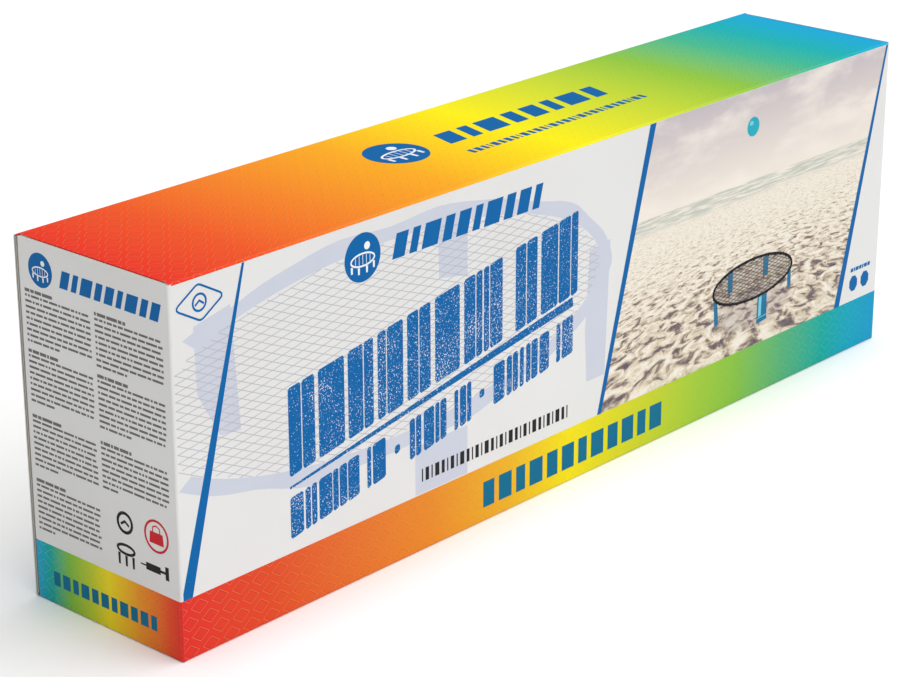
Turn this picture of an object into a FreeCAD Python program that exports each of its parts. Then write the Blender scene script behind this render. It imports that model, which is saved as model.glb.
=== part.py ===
"""Retail carton of a roundnet lawn game, closed, with the knocked-down set packed inside.

The carton is one creased blank of fine corrugated board. Each end closes with a lid hinged on the
front panel, a tuck flap on the lid's far edge and two dust flaps hinged on the top and bottom panels.
Inside lie five rim arcs and five legs of a 900 mm ring, the rolled net, three balls, a hand pump,
the folded carry bag and the instruction leaflet.

Frame: millimetres, origin at the centre of the carton's base, +X along the carton to its right end,
-Y towards the front panel, +Z up. Every piece is written as its own STEP file, named for its node.
"""

import FreeCAD
import Part

import math
import os

Vector = FreeCAD.Vector
X_AXIS = Vector(1, 0, 0)
Y_AXIS = Vector(0, 1, 0)
Z_AXIS = Vector(0, 0, 1)
ORIGIN = Vector(0, 0, 0)

# ---------------------------------------------------------------- driving dimensions
# Carton
carton_length = 600.0
carton_depth = 112.0
carton_height = 196.5
board = 1.6                  # thickness of the corrugated board
crease_gap = 0.1             # air left on each side of a crease between two hinged panels
lid_relief = 0.5             # the lid's top and bottom edges stand back this far
dust_gap = 0.3               # between the lid's inner face and the dust flaps
dust_length = 54.0           # from crease to free edge
dust_lid_clear = 4.0         # dust flap's root stands this far from the front panel
dust_taper = 0.55            # run of the dust flap's slanted edge per unit of length
dust_tuck_clear = 7.0        # dust flap's straight edge stands this far from the tuck flap
dust_corner = 7.0
tuck_length = 26.0
tuck_lean = 10.0             # degrees that the closed tuck flap leans in from square
tuck_wall_gap = 0.6          # between the tuck crease and the back panel
tuck_inset = 5.5             # tuck flap's ends stand this far inside the top and bottom
tuck_corner = 15.0
relief_corner = 4.0          # rounded relief at the back corners of the top and bottom panels
glue_flap_width = 24.0
glue_flap_inset = 9.0        # glue flap stops this far from each end

# Ring of the game: five arcs plugged into five legs
ring_diameter = 900.0
rim_tube = 20.0
rim_wall = 1.6
arc_count = 5
arc_end_gap = 3.0            # between two arcs where they meet inside a leg's socket
arc_pitch = 21.0             # the packed arcs lie side by side at this spacing
lug_angles = (-22.5, -7.5, 7.5, 22.5)
lug_radius = 2.2
lug_height = 4.2
lug_head_radius = 3.4
lug_head_height = 1.4

# Legs
ring_height = 200.0          # top of the rim above the ground in play
socket_outer = 26.0
socket_clearance = 0.2       # radial, between the rim tube and the leg's socket
leg_top_width = 62.0
leg_foot_width = 52.0
blade_thickness = 12.0
blade_web = 4.0              # wall left between the recesses of the two faces
blade_rim = 5.0              # border left round each recess
recess_count = 3
leg_pitch = 19.7             # the packed legs lie side by side, heads alternating
pad_height = 4.0
pad_margin = 1.0             # the pad stands in from the blade's outline by this much

# Balls
playing_ball = 90.0
training_ball = 105.0
ball_wall = 2.2
valve_radius = 3.5
valve_clearance = 0.05
playing_ball_places = (-236.0, -150.0)
training_ball_place = 190.0

# Rolled net
net_roll_length = 172.0
net_roll_radius = 33.0
net_waist_radius = 29.0
net_waist_width = 18.0
net_end_round = 12.0
net_roll_y = -19.0
tie_width = 14.0
tie_thickness = 1.4
tie_clearance = 0.2

# Carry bag, folded flat and standing on its edge
bag_length = 168.0
bag_thickness = 27.0
bag_height = 52.0
bag_round = 8.0
bag_wall_gap = 2.0

# Hand pump
barrel_outer = 25.0
barrel_wall = 2.0
barrel_length = 124.0
pump_base_length = 18.0
pump_base_overlap = 6.0      # base cap's plug inside the barrel
pump_base_radius = 13.0
nozzle_radius = 4.5
nozzle_length = 8.0
needle_radius = 1.0
needle_length = 32.0
needle_hub_radius = 2.6
needle_hub_length = 5.0
collar_radius = 14.0
collar_length = 15.0
collar_grip = 8.0            # length of barrel that the collar covers
rod_radius = 4.0
rod_clearance = 0.08
piston_clearance = 0.08
piston_length = 10.0
piston_rest_gap = 3.0        # between the base plug and the piston when pushed home
handle_radius = 15.0
handle_length = 50.0
handle_gap = 2.0             # between collar and handle when pushed home
handle_groove_depth = 1.2
handle_groove_count = 4
pump_left_end = -166.0       # needle tip
wall_clearance = 0.8         # between the pump and the carton's walls

# Leaflet
leaflet_length = 148.0
leaflet_width = 72.0
leaflet_thickness = 1.2
leaflet_x = 196.0

packing_gap = 0.5            # between loose pieces that rest on each other

# ---------------------------------------------------------------- derived places
half_length = carton_length / 2
half_depth = carton_depth / 2
inner_half_depth = half_depth - board
inner_top = carton_height - board
dust_plane = board + dust_gap                      # dust flap's outer face, in from the end
lid_width = carton_depth - board - tuck_wall_gap   # hinge to tuck crease
floor_level = 2 * board + 0.4                      # contents lie on the glue flap

rim_radius = rim_tube / 2
ring_radius = ring_diameter / 2 - rim_radius       # centre line of the rim
arc_half_angle = 180.0 / arc_count - math.degrees(arc_end_gap / 2 / ring_radius)
arc_drop = (ring_radius - rim_radius) * math.cos(math.radians(arc_half_angle))
ring_centre_z = floor_level - arc_drop             # packed arcs stand on their ends, crown up
rim_outer = ring_radius + rim_radius
crown_level = ring_centre_z + rim_outer + lug_height

pump_y = inner_half_depth - wall_clearance - handle_radius
pump_z = inner_top - wall_clearance - handle_radius


# ---------------------------------------------------------------- helpers
def block(x0, x1, y0, y1, z0, z1):
    """Box between two corners."""
    return Part.makeBox(x1 - x0, y1 - y0, z1 - z0, Vector(x0, y0, z0))


def prism(points, along):
    """Closed polygon of 3-D points, extruded by the vector along."""
    wire = Part.makePolygon(list(points) + [points[0]])
    return Part.Face(wire).extrude(along)


def rod(radius, length, start, direction):
    """Solid cylinder."""
    return Part.makeCylinder(radius, length, start, direction)


def turned(profile, axis_point, axis):
    """Solid of revolution of a closed profile of points round an axis."""
    wire = Part.makePolygon(list(profile) + [profile[0]])
    return Part.Face(wire).revolve(axis_point, axis, 360)


def edges_along(shape, direction, touching):
    """Edges parallel to direction whose middle satisfies the test touching(point)."""
    found = []
    for edge in shape.Edges:
        if not isinstance(edge.Curve, Part.Line):
            continue
        if abs(edge.tangentAt(edge.FirstParameter).dot(direction)) < 0.999:
            continue
        if touching(edge.CenterOfMass):
            found.append(edge)
    return found


def mirrored(shape):
    """The same piece at the carton's other end."""
    return shape.mirror(ORIGIN, X_AXIS)


# ---------------------------------------------------------------- carton: the four walls
def long_wall(outer, inner, ends):
    """Front or back panel: outer and inner are its y planes, mitred along the top and bottom.

    ends gives how far the outer and the inner face stop short of the carton's ends.
    """
    outer_end, inner_end = ends
    plan = [
        Vector(-half_length + outer_end, outer, 0),
        Vector(half_length - outer_end, outer, 0),
        Vector(half_length - inner_end, inner, 0),
        Vector(-half_length + inner_end, inner, 0),
    ]
    wall = prism(plan, Vector(0, 0, carton_height))
    section = [
        Vector(-half_length, outer, 0),
        Vector(-half_length, outer, carton_height),
        Vector(-half_length, inner, inner_top),
        Vector(-half_length, inner, board),
    ]
    return wall.common(prism(section, Vector(carton_length, 0, 0)))


def front_panel():
    """Printed front, mitred at both ends where the lids are hinged."""
    return long_wall(-half_depth, -inner_half_depth, (crease_gap, board + crease_gap))


def back_panel():
    """Plain back. Its square ends run out flush with the closed lids."""
    return long_wall(half_depth, inner_half_depth, (0.0, 0.0))


def dust_edges():
    """The y places of a dust flap's root: beside the front panel and beside the tuck flap."""
    tuck_inner = -half_depth + lid_width - board / math.tan(math.radians((90 - tuck_lean) / 2))
    return -inner_half_depth + dust_lid_clear, tuck_inner - dust_tuck_clear


def flat_wall(outer, inner):
    """Top or bottom panel: outer and inner are its z planes. The dust flaps fold off its ends."""
    section = [
        Vector(-half_length, -half_depth, outer),
        Vector(-half_length, half_depth, outer),
        Vector(-half_length, inner_half_depth, inner),
        Vector(-half_length, -inner_half_depth, inner),
    ]
    wall = prism(section, Vector(carton_length, 0, 0))
    reach = half_length - dust_plane
    low, high = min(outer, inner), max(outer, inner)
    outline = block(-reach, reach, -half_depth, half_depth, low, high)
    corners = edges_along(outline, Z_AXIS, lambda p: p.y > 0)
    wall = wall.common(outline.makeFillet(relief_corner, corners))
    near, far = dust_edges()
    mitre = [
        Vector(-reach - 1, near - 1, outer),
        Vector(-reach + crease_gap, near - 1, outer),
        Vector(-reach + crease_gap + board, near - 1, inner),
        Vector(-reach - 1, near - 1, inner),
    ]
    seat = prism(mitre, Vector(0, far - near + 2, 0))
    return wall.cut(seat).cut(mirrored(seat))


def glue_flap():
    """Manufacturer's joint: a strip off the back panel, glued inside the bottom panel."""
    reach = half_length - glue_flap_inset
    flap = block(
        -reach, reach,
        inner_half_depth - glue_flap_width, inner_half_depth,
        board, 2 * board,
    )
    corners = edges_along(flap, Z_AXIS, lambda p: p.y < inner_half_depth - 1)
    return flap.makeFillet(dust_corner, corners)


# ---------------------------------------------------------------- carton: the left end
def lid():
    """End lid, hinged on the front panel's upright edge, with the tuck crease at the back."""
    hinge_y = -half_depth
    far_y = hinge_y + lid_width
    tuck_mitre = board / math.tan(math.radians((90 - tuck_lean) / 2))
    plan = [
        Vector(-half_length, hinge_y + crease_gap, 0),
        Vector(-half_length, far_y - crease_gap, 0),
        Vector(-half_length + board, far_y - tuck_mitre - crease_gap, 0),
        Vector(-half_length + board, hinge_y + board + crease_gap, 0),
    ]
    panel = prism(plan, Vector(0, 0, carton_height - 2 * lid_relief))
    return panel.translated(Vector(0, 0, lid_relief))


def tuck_flap():
    """Flap on the lid's far edge, leaning in from the back panel, with rounded free corners."""
    crease = Vector(-half_length, -half_depth + lid_width, 0)
    mitre = board / math.tan(math.radians((90 - tuck_lean) / 2))
    plan = [
        Vector(crease_gap, 0, 0),
        Vector(tuck_length, 0, 0),
        Vector(tuck_length, -board, 0),
        Vector(mitre + crease_gap, -board, 0),
    ]
    flap = prism(plan, Vector(0, 0, carton_height - 2 * tuck_inset))
    corners = edges_along(flap, Y_AXIS, lambda p: p.x > tuck_length - 0.1)
    flap = flap.makeFillet(tuck_corner, corners)
    flap.rotate(ORIGIN, Z_AXIS, -tuck_lean)
    return flap.translated(crease + Vector(0, 0, tuck_inset))


def dust_flap():
    """Top dust flap: folded down behind the lid, slanted beside the lid's hinge."""
    near, far = dust_edges()
    face_x = -half_length + dust_plane
    slant = dust_taper * dust_length
    outline = [
        Vector(face_x, near, carton_height),
        Vector(face_x, far, carton_height),
        Vector(face_x, far, carton_height - dust_length),
        Vector(face_x, near + slant, carton_height - dust_length),
    ]
    flap = prism(outline, Vector(board, 0, 0))
    free = edges_along(flap, X_AXIS, lambda p: p.z < carton_height - dust_length + 0.1)
    flap = flap.makeFillet(dust_corner, free)
    mitre = [
        Vector(face_x, near - 1, carton_height + 1),
        Vector(face_x, near - 1, carton_height - crease_gap),
        Vector(face_x + board, near - 1, carton_height - crease_gap - board),
        Vector(face_x + board, near - 1, carton_height + 1),
    ]
    return flap.cut(prism(mitre, Vector(0, far - near + 2, 0)))


def upside_down(shape):
    """The same flap on the bottom panel."""
    return shape.mirror(Vector(0, 0, carton_height / 2), Z_AXIS)


# ---------------------------------------------------------------- the game's ring
def on_ring(radius, degrees, y=0.0):
    """Point of the packed ring's plane at a radius and an angle from the crown."""
    angle = math.radians(degrees)
    return Vector(radius * math.sin(angle), y, ring_centre_z + radius * math.cos(angle))


def rim_arc(y):
    """One curved rim tube, open at both ends, with mushroom lugs that hold the net's loops."""
    centre = Vector(0, y, ring_centre_z)
    start = on_ring(ring_radius, -arc_half_angle, y)
    tangent = Vector(math.cos(math.radians(arc_half_angle)), 0, math.sin(math.radians(arc_half_angle)))
    outer = Part.Face(Part.Wire(Part.makeCircle(rim_radius, start, tangent)))
    bore = Part.Face(Part.Wire(Part.makeCircle(rim_radius - rim_wall, start, tangent)))
    sweep = 2 * arc_half_angle
    arc = outer.revolve(centre, Y_AXIS, sweep).cut(bore.revolve(centre, Y_AXIS, sweep))
    for degrees in lug_angles:
        arc = arc.fuse(lug(degrees, y))
    return arc


def lug(degrees, y):
    """Mushroom-headed peg on the outside of the rim."""
    outward = on_ring(1.0, degrees) - on_ring(0.0, degrees)
    foot = on_ring(rim_outer - rim_wall / 2, degrees, y)
    peg = rod(lug_radius, rim_wall / 2 + lug_height, foot, outward)
    head_foot = on_ring(rim_outer + lug_height - lug_head_height, degrees, y)
    return peg.fuse(rod(lug_head_radius, lug_head_height, head_foot, outward))


# ---------------------------------------------------------------- legs
socket_bore = rim_radius + socket_clearance
leg_drop = ring_height - rim_radius - pad_height   # socket axis to the blade's foot
leg_mid_z = floor_level + leg_top_width / 2


def leg():
    """Moulded leg lying along X: socket at x = 0, foot at x = leg_drop, width along Z."""
    half_top = leg_top_width / 2
    half_foot = leg_foot_width / 2
    outline = [
        Vector(0, -blade_thickness / 2, -half_top),
        Vector(leg_drop, -blade_thickness / 2, -half_foot),
        Vector(leg_drop, -blade_thickness / 2, half_foot),
        Vector(0, -blade_thickness / 2, half_top),
    ]
    body = prism(outline, Vector(0, blade_thickness, 0))
    body = body.fuse(rod(socket_outer / 2, leg_top_width, Vector(0, 0, -half_top), Z_AXIS))
    for side in (-1, 1):
        for recess in blade_recesses(side):
            body = body.cut(recess)
    return body.cut(rod(socket_bore, leg_top_width + 2, Vector(0, 0, -half_top - 1), Z_AXIS))


def blade_recesses(side):
    """Shallow recesses on one face of the blade, between its border and its cross ribs."""
    first = socket_outer / 2 + blade_rim
    pitch = (leg_drop - first) / recess_count
    depth = (blade_thickness - blade_web) / 2
    floor_y = side * blade_web / 2
    recesses = []
    for index in range(recess_count):
        x0 = first + index * pitch
        x1 = x0 + pitch - blade_rim
        half_0 = blade_half_width(x0) - blade_rim
        half_1 = blade_half_width(x1) - blade_rim
        outline = [
            Vector(x0, floor_y, -half_0),
            Vector(x1, floor_y, -half_1),
            Vector(x1, floor_y, half_1),
            Vector(x0, floor_y, half_0),
        ]
        pocket = prism(outline, Vector(0, side * (depth + 1), 0))
        recesses.append(pocket)
    return recesses


def blade_half_width(x):
    """Half the blade's width at a distance x from the socket's axis."""
    share = x / leg_drop
    return (leg_top_width + share * (leg_foot_width - leg_top_width)) / 2


def foot_pad():
    """Rubber pad under the leg, face to face with the blade's end."""
    half_width = leg_foot_width / 2 - pad_margin
    half_thick = blade_thickness / 2
    pad = block(leg_drop, leg_drop + pad_height, -half_thick, half_thick, -half_width, half_width)
    return pad.makeFillet(half_thick * 0.6, edges_along(pad, X_AXIS, lambda p: True))


def packed_leg(shape, index):
    """Lays a leg or its pad in the carton; every other leg is turned end for end."""
    placed = shape.copy()
    centre = (leg_drop + pad_height - socket_outer / 2) / 2
    placed.translate(Vector(-centre, 0, 0))
    if index % 2:
        placed.rotate(ORIGIN, Z_AXIS, 180)
    placed.translate(Vector(0, (index - (arc_count - 1) / 2) * leg_pitch, leg_mid_z))
    return placed


# ---------------------------------------------------------------- balls
def ball_centre(x, diameter):
    """A ball resting on the packed arcs at a place along the carton."""
    distance = rim_outer + lug_height + packing_gap + diameter / 2
    return Vector(x, 0, ring_centre_z + math.sqrt(distance * distance - x * x))


def valve_direction():
    """The valves point up and to the front."""
    return Vector(0, -1, 1).normalize()


def ball(x, diameter):
    """Hollow rubber ball with a round hole for its valve."""
    centre = ball_centre(x, diameter)
    shell = Part.makeSphere(diameter / 2, centre).cut(Part.makeSphere(diameter / 2 - ball_wall, centre))
    return shell.cut(rod(valve_radius, diameter, centre, valve_direction()))


def ball_valve(x, diameter):
    """Rubber plug that fills the ball's hole, flush with its outside."""
    centre = ball_centre(x, diameter)
    plug = rod(valve_radius - valve_clearance, diameter, centre, valve_direction())
    shell = Part.makeSphere(diameter / 2, centre).cut(Part.makeSphere(diameter / 2 - 2 * ball_wall, centre))
    return plug.common(shell)


# ---------------------------------------------------------------- rolled net and its tie
net_roll_z = crown_level + packing_gap + net_roll_radius


def net_roll():
    """Net rolled up along X, drawn in at the middle by its tie, with rounded ends."""
    half = net_roll_length / 2
    waist = net_waist_width / 2
    shoulder = waist + (net_roll_radius - net_waist_radius) * 2
    end = net_roll_radius - net_end_round
    centre = Vector(0, net_roll_y, net_roll_z)
    points = [
        (-half, 0.0), (-half, end), (-half + net_end_round, net_roll_radius),
        (-shoulder, net_roll_radius), (-waist, net_waist_radius),
        (waist, net_waist_radius), (shoulder, net_roll_radius),
        (half - net_end_round, net_roll_radius), (half, end), (half, 0.0),
    ]
    profile = [centre + Vector(x, 0, r) for x, r in points]
    edges = []
    for index in range(len(profile)):
        start = profile[index]
        stop = profile[(index + 1) % len(profile)]
        if index in (1, 7):
            mid_x = (start.x + stop.x) / 2
            bulge = net_end_round * (1 - math.sqrt(0.5))
            mid_x = -half + bulge if index == 1 else half - bulge
            middle = Vector(mid_x, centre.y, centre.z + net_roll_radius - bulge)
            edges.append(Part.Arc(start, middle, stop).toShape())
        else:
            edges.append(Part.LineSegment(start, stop).toShape())
    return Part.Face(Part.Wire(edges)).revolve(centre, X_AXIS, 360)


def net_tie():
    """Strap round the rolled net's waist."""
    inner = net_waist_radius + tie_clearance
    centre = Vector(-tie_width / 2, net_roll_y, net_roll_z)
    return rod(inner + tie_thickness, tie_width, centre, X_AXIS).cut(rod(inner, tie_width, centre, X_AXIS))


# ---------------------------------------------------------------- carry bag and leaflet
def carry_bag():
    """Folded bag standing along the back panel, under the pump."""
    y1 = inner_half_depth - bag_wall_gap
    z0 = crown_level + packing_gap
    pad = block(-bag_length / 2, bag_length / 2, y1 - bag_thickness, y1, z0, z0 + bag_height)
    return pad.makeFillet(bag_round, pad.Edges)


def leaflet():
    """Folded instructions lying on the training ball, clear of the pump."""
    z0 = ball_centre(training_ball_place, training_ball).z + training_ball / 2 + packing_gap
    y0 = -inner_half_depth + 2.0
    return block(
        leaflet_x - leaflet_length / 2, leaflet_x + leaflet_length / 2,
        y0, y0 + leaflet_width, z0, z0 + leaflet_thickness,
    )


# ---------------------------------------------------------------- hand pump, along +X
barrel_bore = barrel_outer / 2 - barrel_wall
base_x = pump_left_end + needle_length + nozzle_length
barrel_x = base_x + pump_base_length - pump_base_overlap
collar_x = barrel_x + barrel_length - collar_grip
handle_x = collar_x + collar_length + handle_gap
piston_x = base_x + pump_base_length + piston_rest_gap


def on_pump(x):
    """Point of the pump's axis."""
    return Vector(x, pump_y, pump_z)


def pump_barrel():
    """Plain tube."""
    tube = rod(barrel_outer / 2, barrel_length, on_pump(barrel_x), X_AXIS)
    return tube.cut(rod(barrel_bore, barrel_length, on_pump(barrel_x), X_AXIS))


def pump_base():
    """Cap at the nozzle end: a plug inside the barrel, a flange and a nozzle with a needle hole."""
    flange = rod(pump_base_radius, pump_base_length - pump_base_overlap, on_pump(base_x), X_AXIS)
    plug = rod(barrel_bore - piston_clearance / 2, pump_base_overlap, on_pump(barrel_x), X_AXIS)
    nozzle = rod(nozzle_radius, nozzle_length, on_pump(base_x - nozzle_length), X_AXIS)
    cap = flange.fuse(plug).fuse(nozzle)
    rim = [e for e in cap.Edges if abs(e.CenterOfMass.x - base_x) < 0.01
           and e.Length > 2 * math.pi * (pump_base_radius - 0.1)]
    cap = cap.makeChamfer(1.5, rim)
    hub_hole = rod(needle_hub_radius + valve_clearance, needle_hub_length,
                   on_pump(base_x - nozzle_length), X_AXIS)
    air_hole = rod(needle_radius, pump_base_length + nozzle_length, on_pump(base_x - nozzle_length), X_AXIS)
    return cap.cut(hub_hole).cut(air_hole)


def pump_needle():
    """Ball needle seated in the nozzle."""
    tip_x = pump_left_end
    needle = rod(needle_radius, needle_length, on_pump(tip_x), X_AXIS)
    hub = rod(needle_hub_radius, needle_hub_length, on_pump(base_x - nozzle_length), X_AXIS)
    collar = rod(needle_hub_radius + 1.0, 1.5, on_pump(base_x - nozzle_length - 1.5), X_AXIS)
    return needle.fuse(hub).fuse(collar)


def pump_collar():
    """Screwed collar that closes the barrel and guides the rod."""
    collar = rod(collar_radius, collar_length, on_pump(collar_x), X_AXIS)
    collar = collar.cut(rod(barrel_outer / 2 + valve_clearance, collar_grip, on_pump(collar_x), X_AXIS))
    return collar.cut(rod(rod_radius + rod_clearance, collar_length, on_pump(collar_x), X_AXIS))


def pump_rod():
    """Steel rod from the piston to the inside of the handle."""
    start = piston_x + piston_length
    return rod(rod_radius, handle_x - start, on_pump(start), X_AXIS)


def pump_piston():
    """Piston with its cup seal, running in the barrel."""
    start = on_pump(piston_x)
    body = rod(barrel_bore - piston_clearance, piston_length, start, X_AXIS)
    waist_start = on_pump(piston_x + piston_length * 0.35)
    ring = rod(barrel_bore, piston_length * 0.3, waist_start, X_AXIS)
    waist = rod(barrel_bore - 2.0, piston_length * 0.3, waist_start, X_AXIS)
    return body.cut(ring.cut(waist))


def pump_handle():
    """Grip with finger grooves and a domed end."""
    grip = rod(handle_radius, handle_length, on_pump(handle_x), X_AXIS)
    groove_pitch = handle_length / (handle_groove_count + 1)
    for index in range(handle_groove_count):
        x = handle_x + (index + 1) * groove_pitch
        ring = Part.makeTorus(handle_radius + 1.5, 1.5 + handle_groove_depth, on_pump(x), X_AXIS)
        grip = grip.cut(ring)
    end = [e for e in grip.Edges if abs(e.CenterOfMass.x - handle_x - handle_length) < 0.01
           and e.Length > 2 * math.pi * (handle_radius - 0.5)]
    return grip.makeFillet(4.0, end)


# ---------------------------------------------------------------- build and write
def build():
    """Every piece of the packed carton, by node name."""
    pieces = {
        "front_panel": front_panel(),
        "back_panel": back_panel(),
        "top_panel": flat_wall(carton_height, inner_top),
        "bottom_panel": flat_wall(0.0, board),
        "glue_flap": glue_flap(),
    }
    end_pieces = {
        "lid": lid(),
        "tuck_flap": tuck_flap(),
        "top_dust_flap": dust_flap(),
        "bottom_dust_flap": upside_down(dust_flap()),
    }
    for name, shape in end_pieces.items():
        pieces["left_" + name] = shape
        pieces["right_" + name] = mirrored(shape)

    one_leg = leg()
    one_pad = foot_pad()
    for index in range(arc_count):
        number = index + 1
        pieces[f"rim_arc_{number}"] = rim_arc((index - (arc_count - 1) / 2) * arc_pitch)
        pieces[f"leg_{number}"] = packed_leg(one_leg, index)
        pieces[f"foot_pad_{number}"] = packed_leg(one_pad, index)

    for index, x in enumerate(playing_ball_places):
        pieces[f"playing_ball_{index + 1}"] = ball(x, playing_ball)
        pieces[f"playing_ball_{index + 1}_valve"] = ball_valve(x, playing_ball)
    pieces["training_ball"] = ball(training_ball_place, training_ball)
    pieces["training_ball_valve"] = ball_valve(training_ball_place, training_ball)

    pieces["net_roll"] = net_roll()
    pieces["net_tie"] = net_tie()
    pieces["carry_bag"] = carry_bag()
    pieces["leaflet"] = leaflet()

    pieces["pump_barrel"] = pump_barrel()
    pieces["pump_base"] = pump_base()
    pieces["pump_needle"] = pump_needle()
    pieces["pump_collar"] = pump_collar()
    pieces["pump_rod"] = pump_rod()
    pieces["pump_piston"] = pump_piston()
    pieces["pump_handle"] = pump_handle()
    return pieces


def write(pieces):
    """One STEP file for each node."""
    os.makedirs("parts", exist_ok=True)
    for name, shape in pieces.items():
        shape.exportStep(f"parts/{name}.step")
        print(f"{name:26s} solids {len(shape.Solids)}  volume {shape.Volume / 1000:9.2f} cm3  valid {shape.isValid()}")


write(build())
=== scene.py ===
# %% [markdown]
# # A lawn game in its printed carton
# The object is the carton in which a roundnet game is sold: one sheet of fine corrugated board, printed,
# creased and glued into a long box, with a tuck-in lid at each end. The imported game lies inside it.
# The CAD model already holds every panel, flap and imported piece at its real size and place. This script
# gives them their looks. It works in metres, and what is drawn on the carton is laid out in millimetres.

import math
import random

import bmesh
import bpy
from mathutils import Matrix, Vector


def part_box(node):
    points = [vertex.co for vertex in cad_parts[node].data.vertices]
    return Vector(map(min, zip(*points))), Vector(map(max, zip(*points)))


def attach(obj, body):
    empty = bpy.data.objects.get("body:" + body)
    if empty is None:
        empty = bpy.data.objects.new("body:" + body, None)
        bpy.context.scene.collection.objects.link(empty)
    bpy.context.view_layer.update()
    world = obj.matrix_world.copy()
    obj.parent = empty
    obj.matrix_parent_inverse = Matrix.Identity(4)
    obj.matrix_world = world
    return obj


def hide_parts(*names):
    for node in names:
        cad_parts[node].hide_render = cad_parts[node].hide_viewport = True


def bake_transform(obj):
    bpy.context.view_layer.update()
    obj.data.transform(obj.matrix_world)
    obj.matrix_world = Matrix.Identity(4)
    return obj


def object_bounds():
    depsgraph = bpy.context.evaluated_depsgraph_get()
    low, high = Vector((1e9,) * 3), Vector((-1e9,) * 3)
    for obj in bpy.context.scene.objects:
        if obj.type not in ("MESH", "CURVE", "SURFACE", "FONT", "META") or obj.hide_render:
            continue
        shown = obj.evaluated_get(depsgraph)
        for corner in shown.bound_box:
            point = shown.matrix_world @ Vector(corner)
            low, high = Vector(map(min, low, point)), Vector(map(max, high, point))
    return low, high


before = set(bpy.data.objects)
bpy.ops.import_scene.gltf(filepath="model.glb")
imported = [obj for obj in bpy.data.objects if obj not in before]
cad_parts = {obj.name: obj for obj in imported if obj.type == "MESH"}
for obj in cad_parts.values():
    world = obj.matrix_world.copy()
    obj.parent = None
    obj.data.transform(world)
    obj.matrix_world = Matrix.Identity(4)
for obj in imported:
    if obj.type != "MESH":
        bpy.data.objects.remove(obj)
cad_low, cad_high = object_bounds()
MM = 0.001
length, depth, height = ((cad_high[i] - cad_low[i]) / MM for i in range(3))
print(f"the carton is {length:.1f} x {depth:.1f} x {height:.1f} mm")

# %% [markdown]
# ## Camera, floor and light
# A product picture of a box uses a long lens, so that its edges run nearly parallel, and stands a little
# above it to the front left. The light is the plain kind: an even surround and one very soft lamp, high
# up and a little to the front right. The floor is white and lights the sides from below. The lamp falls
# fully on the top, at a slant on the front and not at all on the left end, so those are the brightest,
# the middle and the darkest face. A lamp of the kind Sun is used, because its light doesn't fade across
# the floor.

# %% Camera
camera_place = Vector((-1.0623, -0.9250, 0.6085))
camera_direction = Vector((0.69177, 0.62781, -0.35681))
camera_roll = math.radians(-0.1)
camera_lens = 105.3

camera_data = bpy.data.cameras.new("camera")
camera_data.lens = camera_lens
camera = bpy.data.objects.new("camera", camera_data)
bpy.context.scene.collection.objects.link(camera)
camera.location = camera_place
turn = camera_direction.to_track_quat("-Z", "Y").to_matrix().to_4x4() @ Matrix.Rotation(camera_roll, 4, "Z")
camera.rotation_euler = turn.to_euler()
bpy.context.scene.camera = camera
bpy.context.scene.view_settings.view_transform = "Standard"
print("camera at", tuple(round(x, 3) for x in camera_place))


# %% Two helpers for materials
def colour(code):
    """Turns an sRGB hex code into the linear colour that Blender works in."""
    channels = [int(code[i:i + 2], 16) / 255 for i in (1, 3, 5)]
    linear = [c / 12.92 if c <= 0.04045 else ((c + 0.055) / 1.055) ** 2.4 for c in channels]
    return (*linear, 1.0)


def add(tree, kind, inputs=(), **settings):
    """Adds a shader node. inputs are values, nodes or sockets, listed in order or by the input's name."""
    node = tree.nodes.new("ShaderNode" + kind)
    for name, value in settings.items():
        setattr(node, name, value)
    shown = [s for s in node.inputs if s.enabled]
    pairs = inputs.items() if isinstance(inputs, dict) else zip(shown, inputs)
    for place, value in pairs:
        socket = place if isinstance(place, bpy.types.NodeSocket) else node.inputs[place]
        if isinstance(value, bpy.types.Node):
            value = next(s for s in value.outputs if s.enabled)
        if isinstance(value, bpy.types.NodeSocket):
            tree.links.new(value, socket)
        else:
            socket.default_value = value
    return node


# %% Floor and lamps
floor_size = 12.0
surround_light = 0.25
key_light = 0.9
key_softness = 90.0                  # degrees across
key_direction = (0.22, -0.35, 0.9)   # from the carton to the lamp
bpy.ops.object.select_all(action="DESELECT")
bpy.ops.mesh.primitive_plane_add(size=floor_size)
floor = bpy.context.object
floor.name = "floor"
floor_material = bpy.data.materials.new("pale_floor")
floor_material.use_nodes = True
floor_shader = floor_material.node_tree.nodes["Principled BSDF"]
floor_shader.inputs["Base Color"].default_value = colour("#FFFFFF")
floor_shader.inputs["Roughness"].default_value = 0.9
floor_shader.inputs["Specular IOR Level"].default_value = 0.0
floor.data.materials.append(floor_material)

world = bpy.data.worlds.new("surround")
world.use_nodes = True
world.node_tree.nodes["Background"].inputs["Color"].default_value = (1.0, 1.0, 1.0, 1.0)
world.node_tree.nodes["Background"].inputs["Strength"].default_value = surround_light
bpy.context.scene.world = world

key_data = bpy.data.lights.new("softbox", "SUN")
key_data.energy = key_light * math.pi
key_data.angle = math.radians(key_softness)
key = bpy.data.objects.new("softbox", key_data)
bpy.context.scene.collection.objects.link(key)
key.rotation_euler = (-Vector(key_direction)).to_track_quat("-Z", "Y").to_euler()
print("floor, surround and softbox")

# %% [markdown]
# ## Coated board
# The outside of the carton is white coated board with an offset print and a thin varnish. Offset ink is
# nearly flat: its colour hardly varies, and the varnish gives it a broad, soft shine. What tells the eye
# that it's board is the faint washboard of the flutes underneath and the grain of the paper.

# %% The varnished surface that every print shares
flute_pitch = 3.3          # mm, the wave of fine-flute board
paper_grain = 0.5          # mm; real fibres are finer, and this is as fine as the render can show
varnish_roughness = 0.48
varnish_gloss = 0.08       # specular level: the varnish is thin and mostly sinks in


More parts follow.
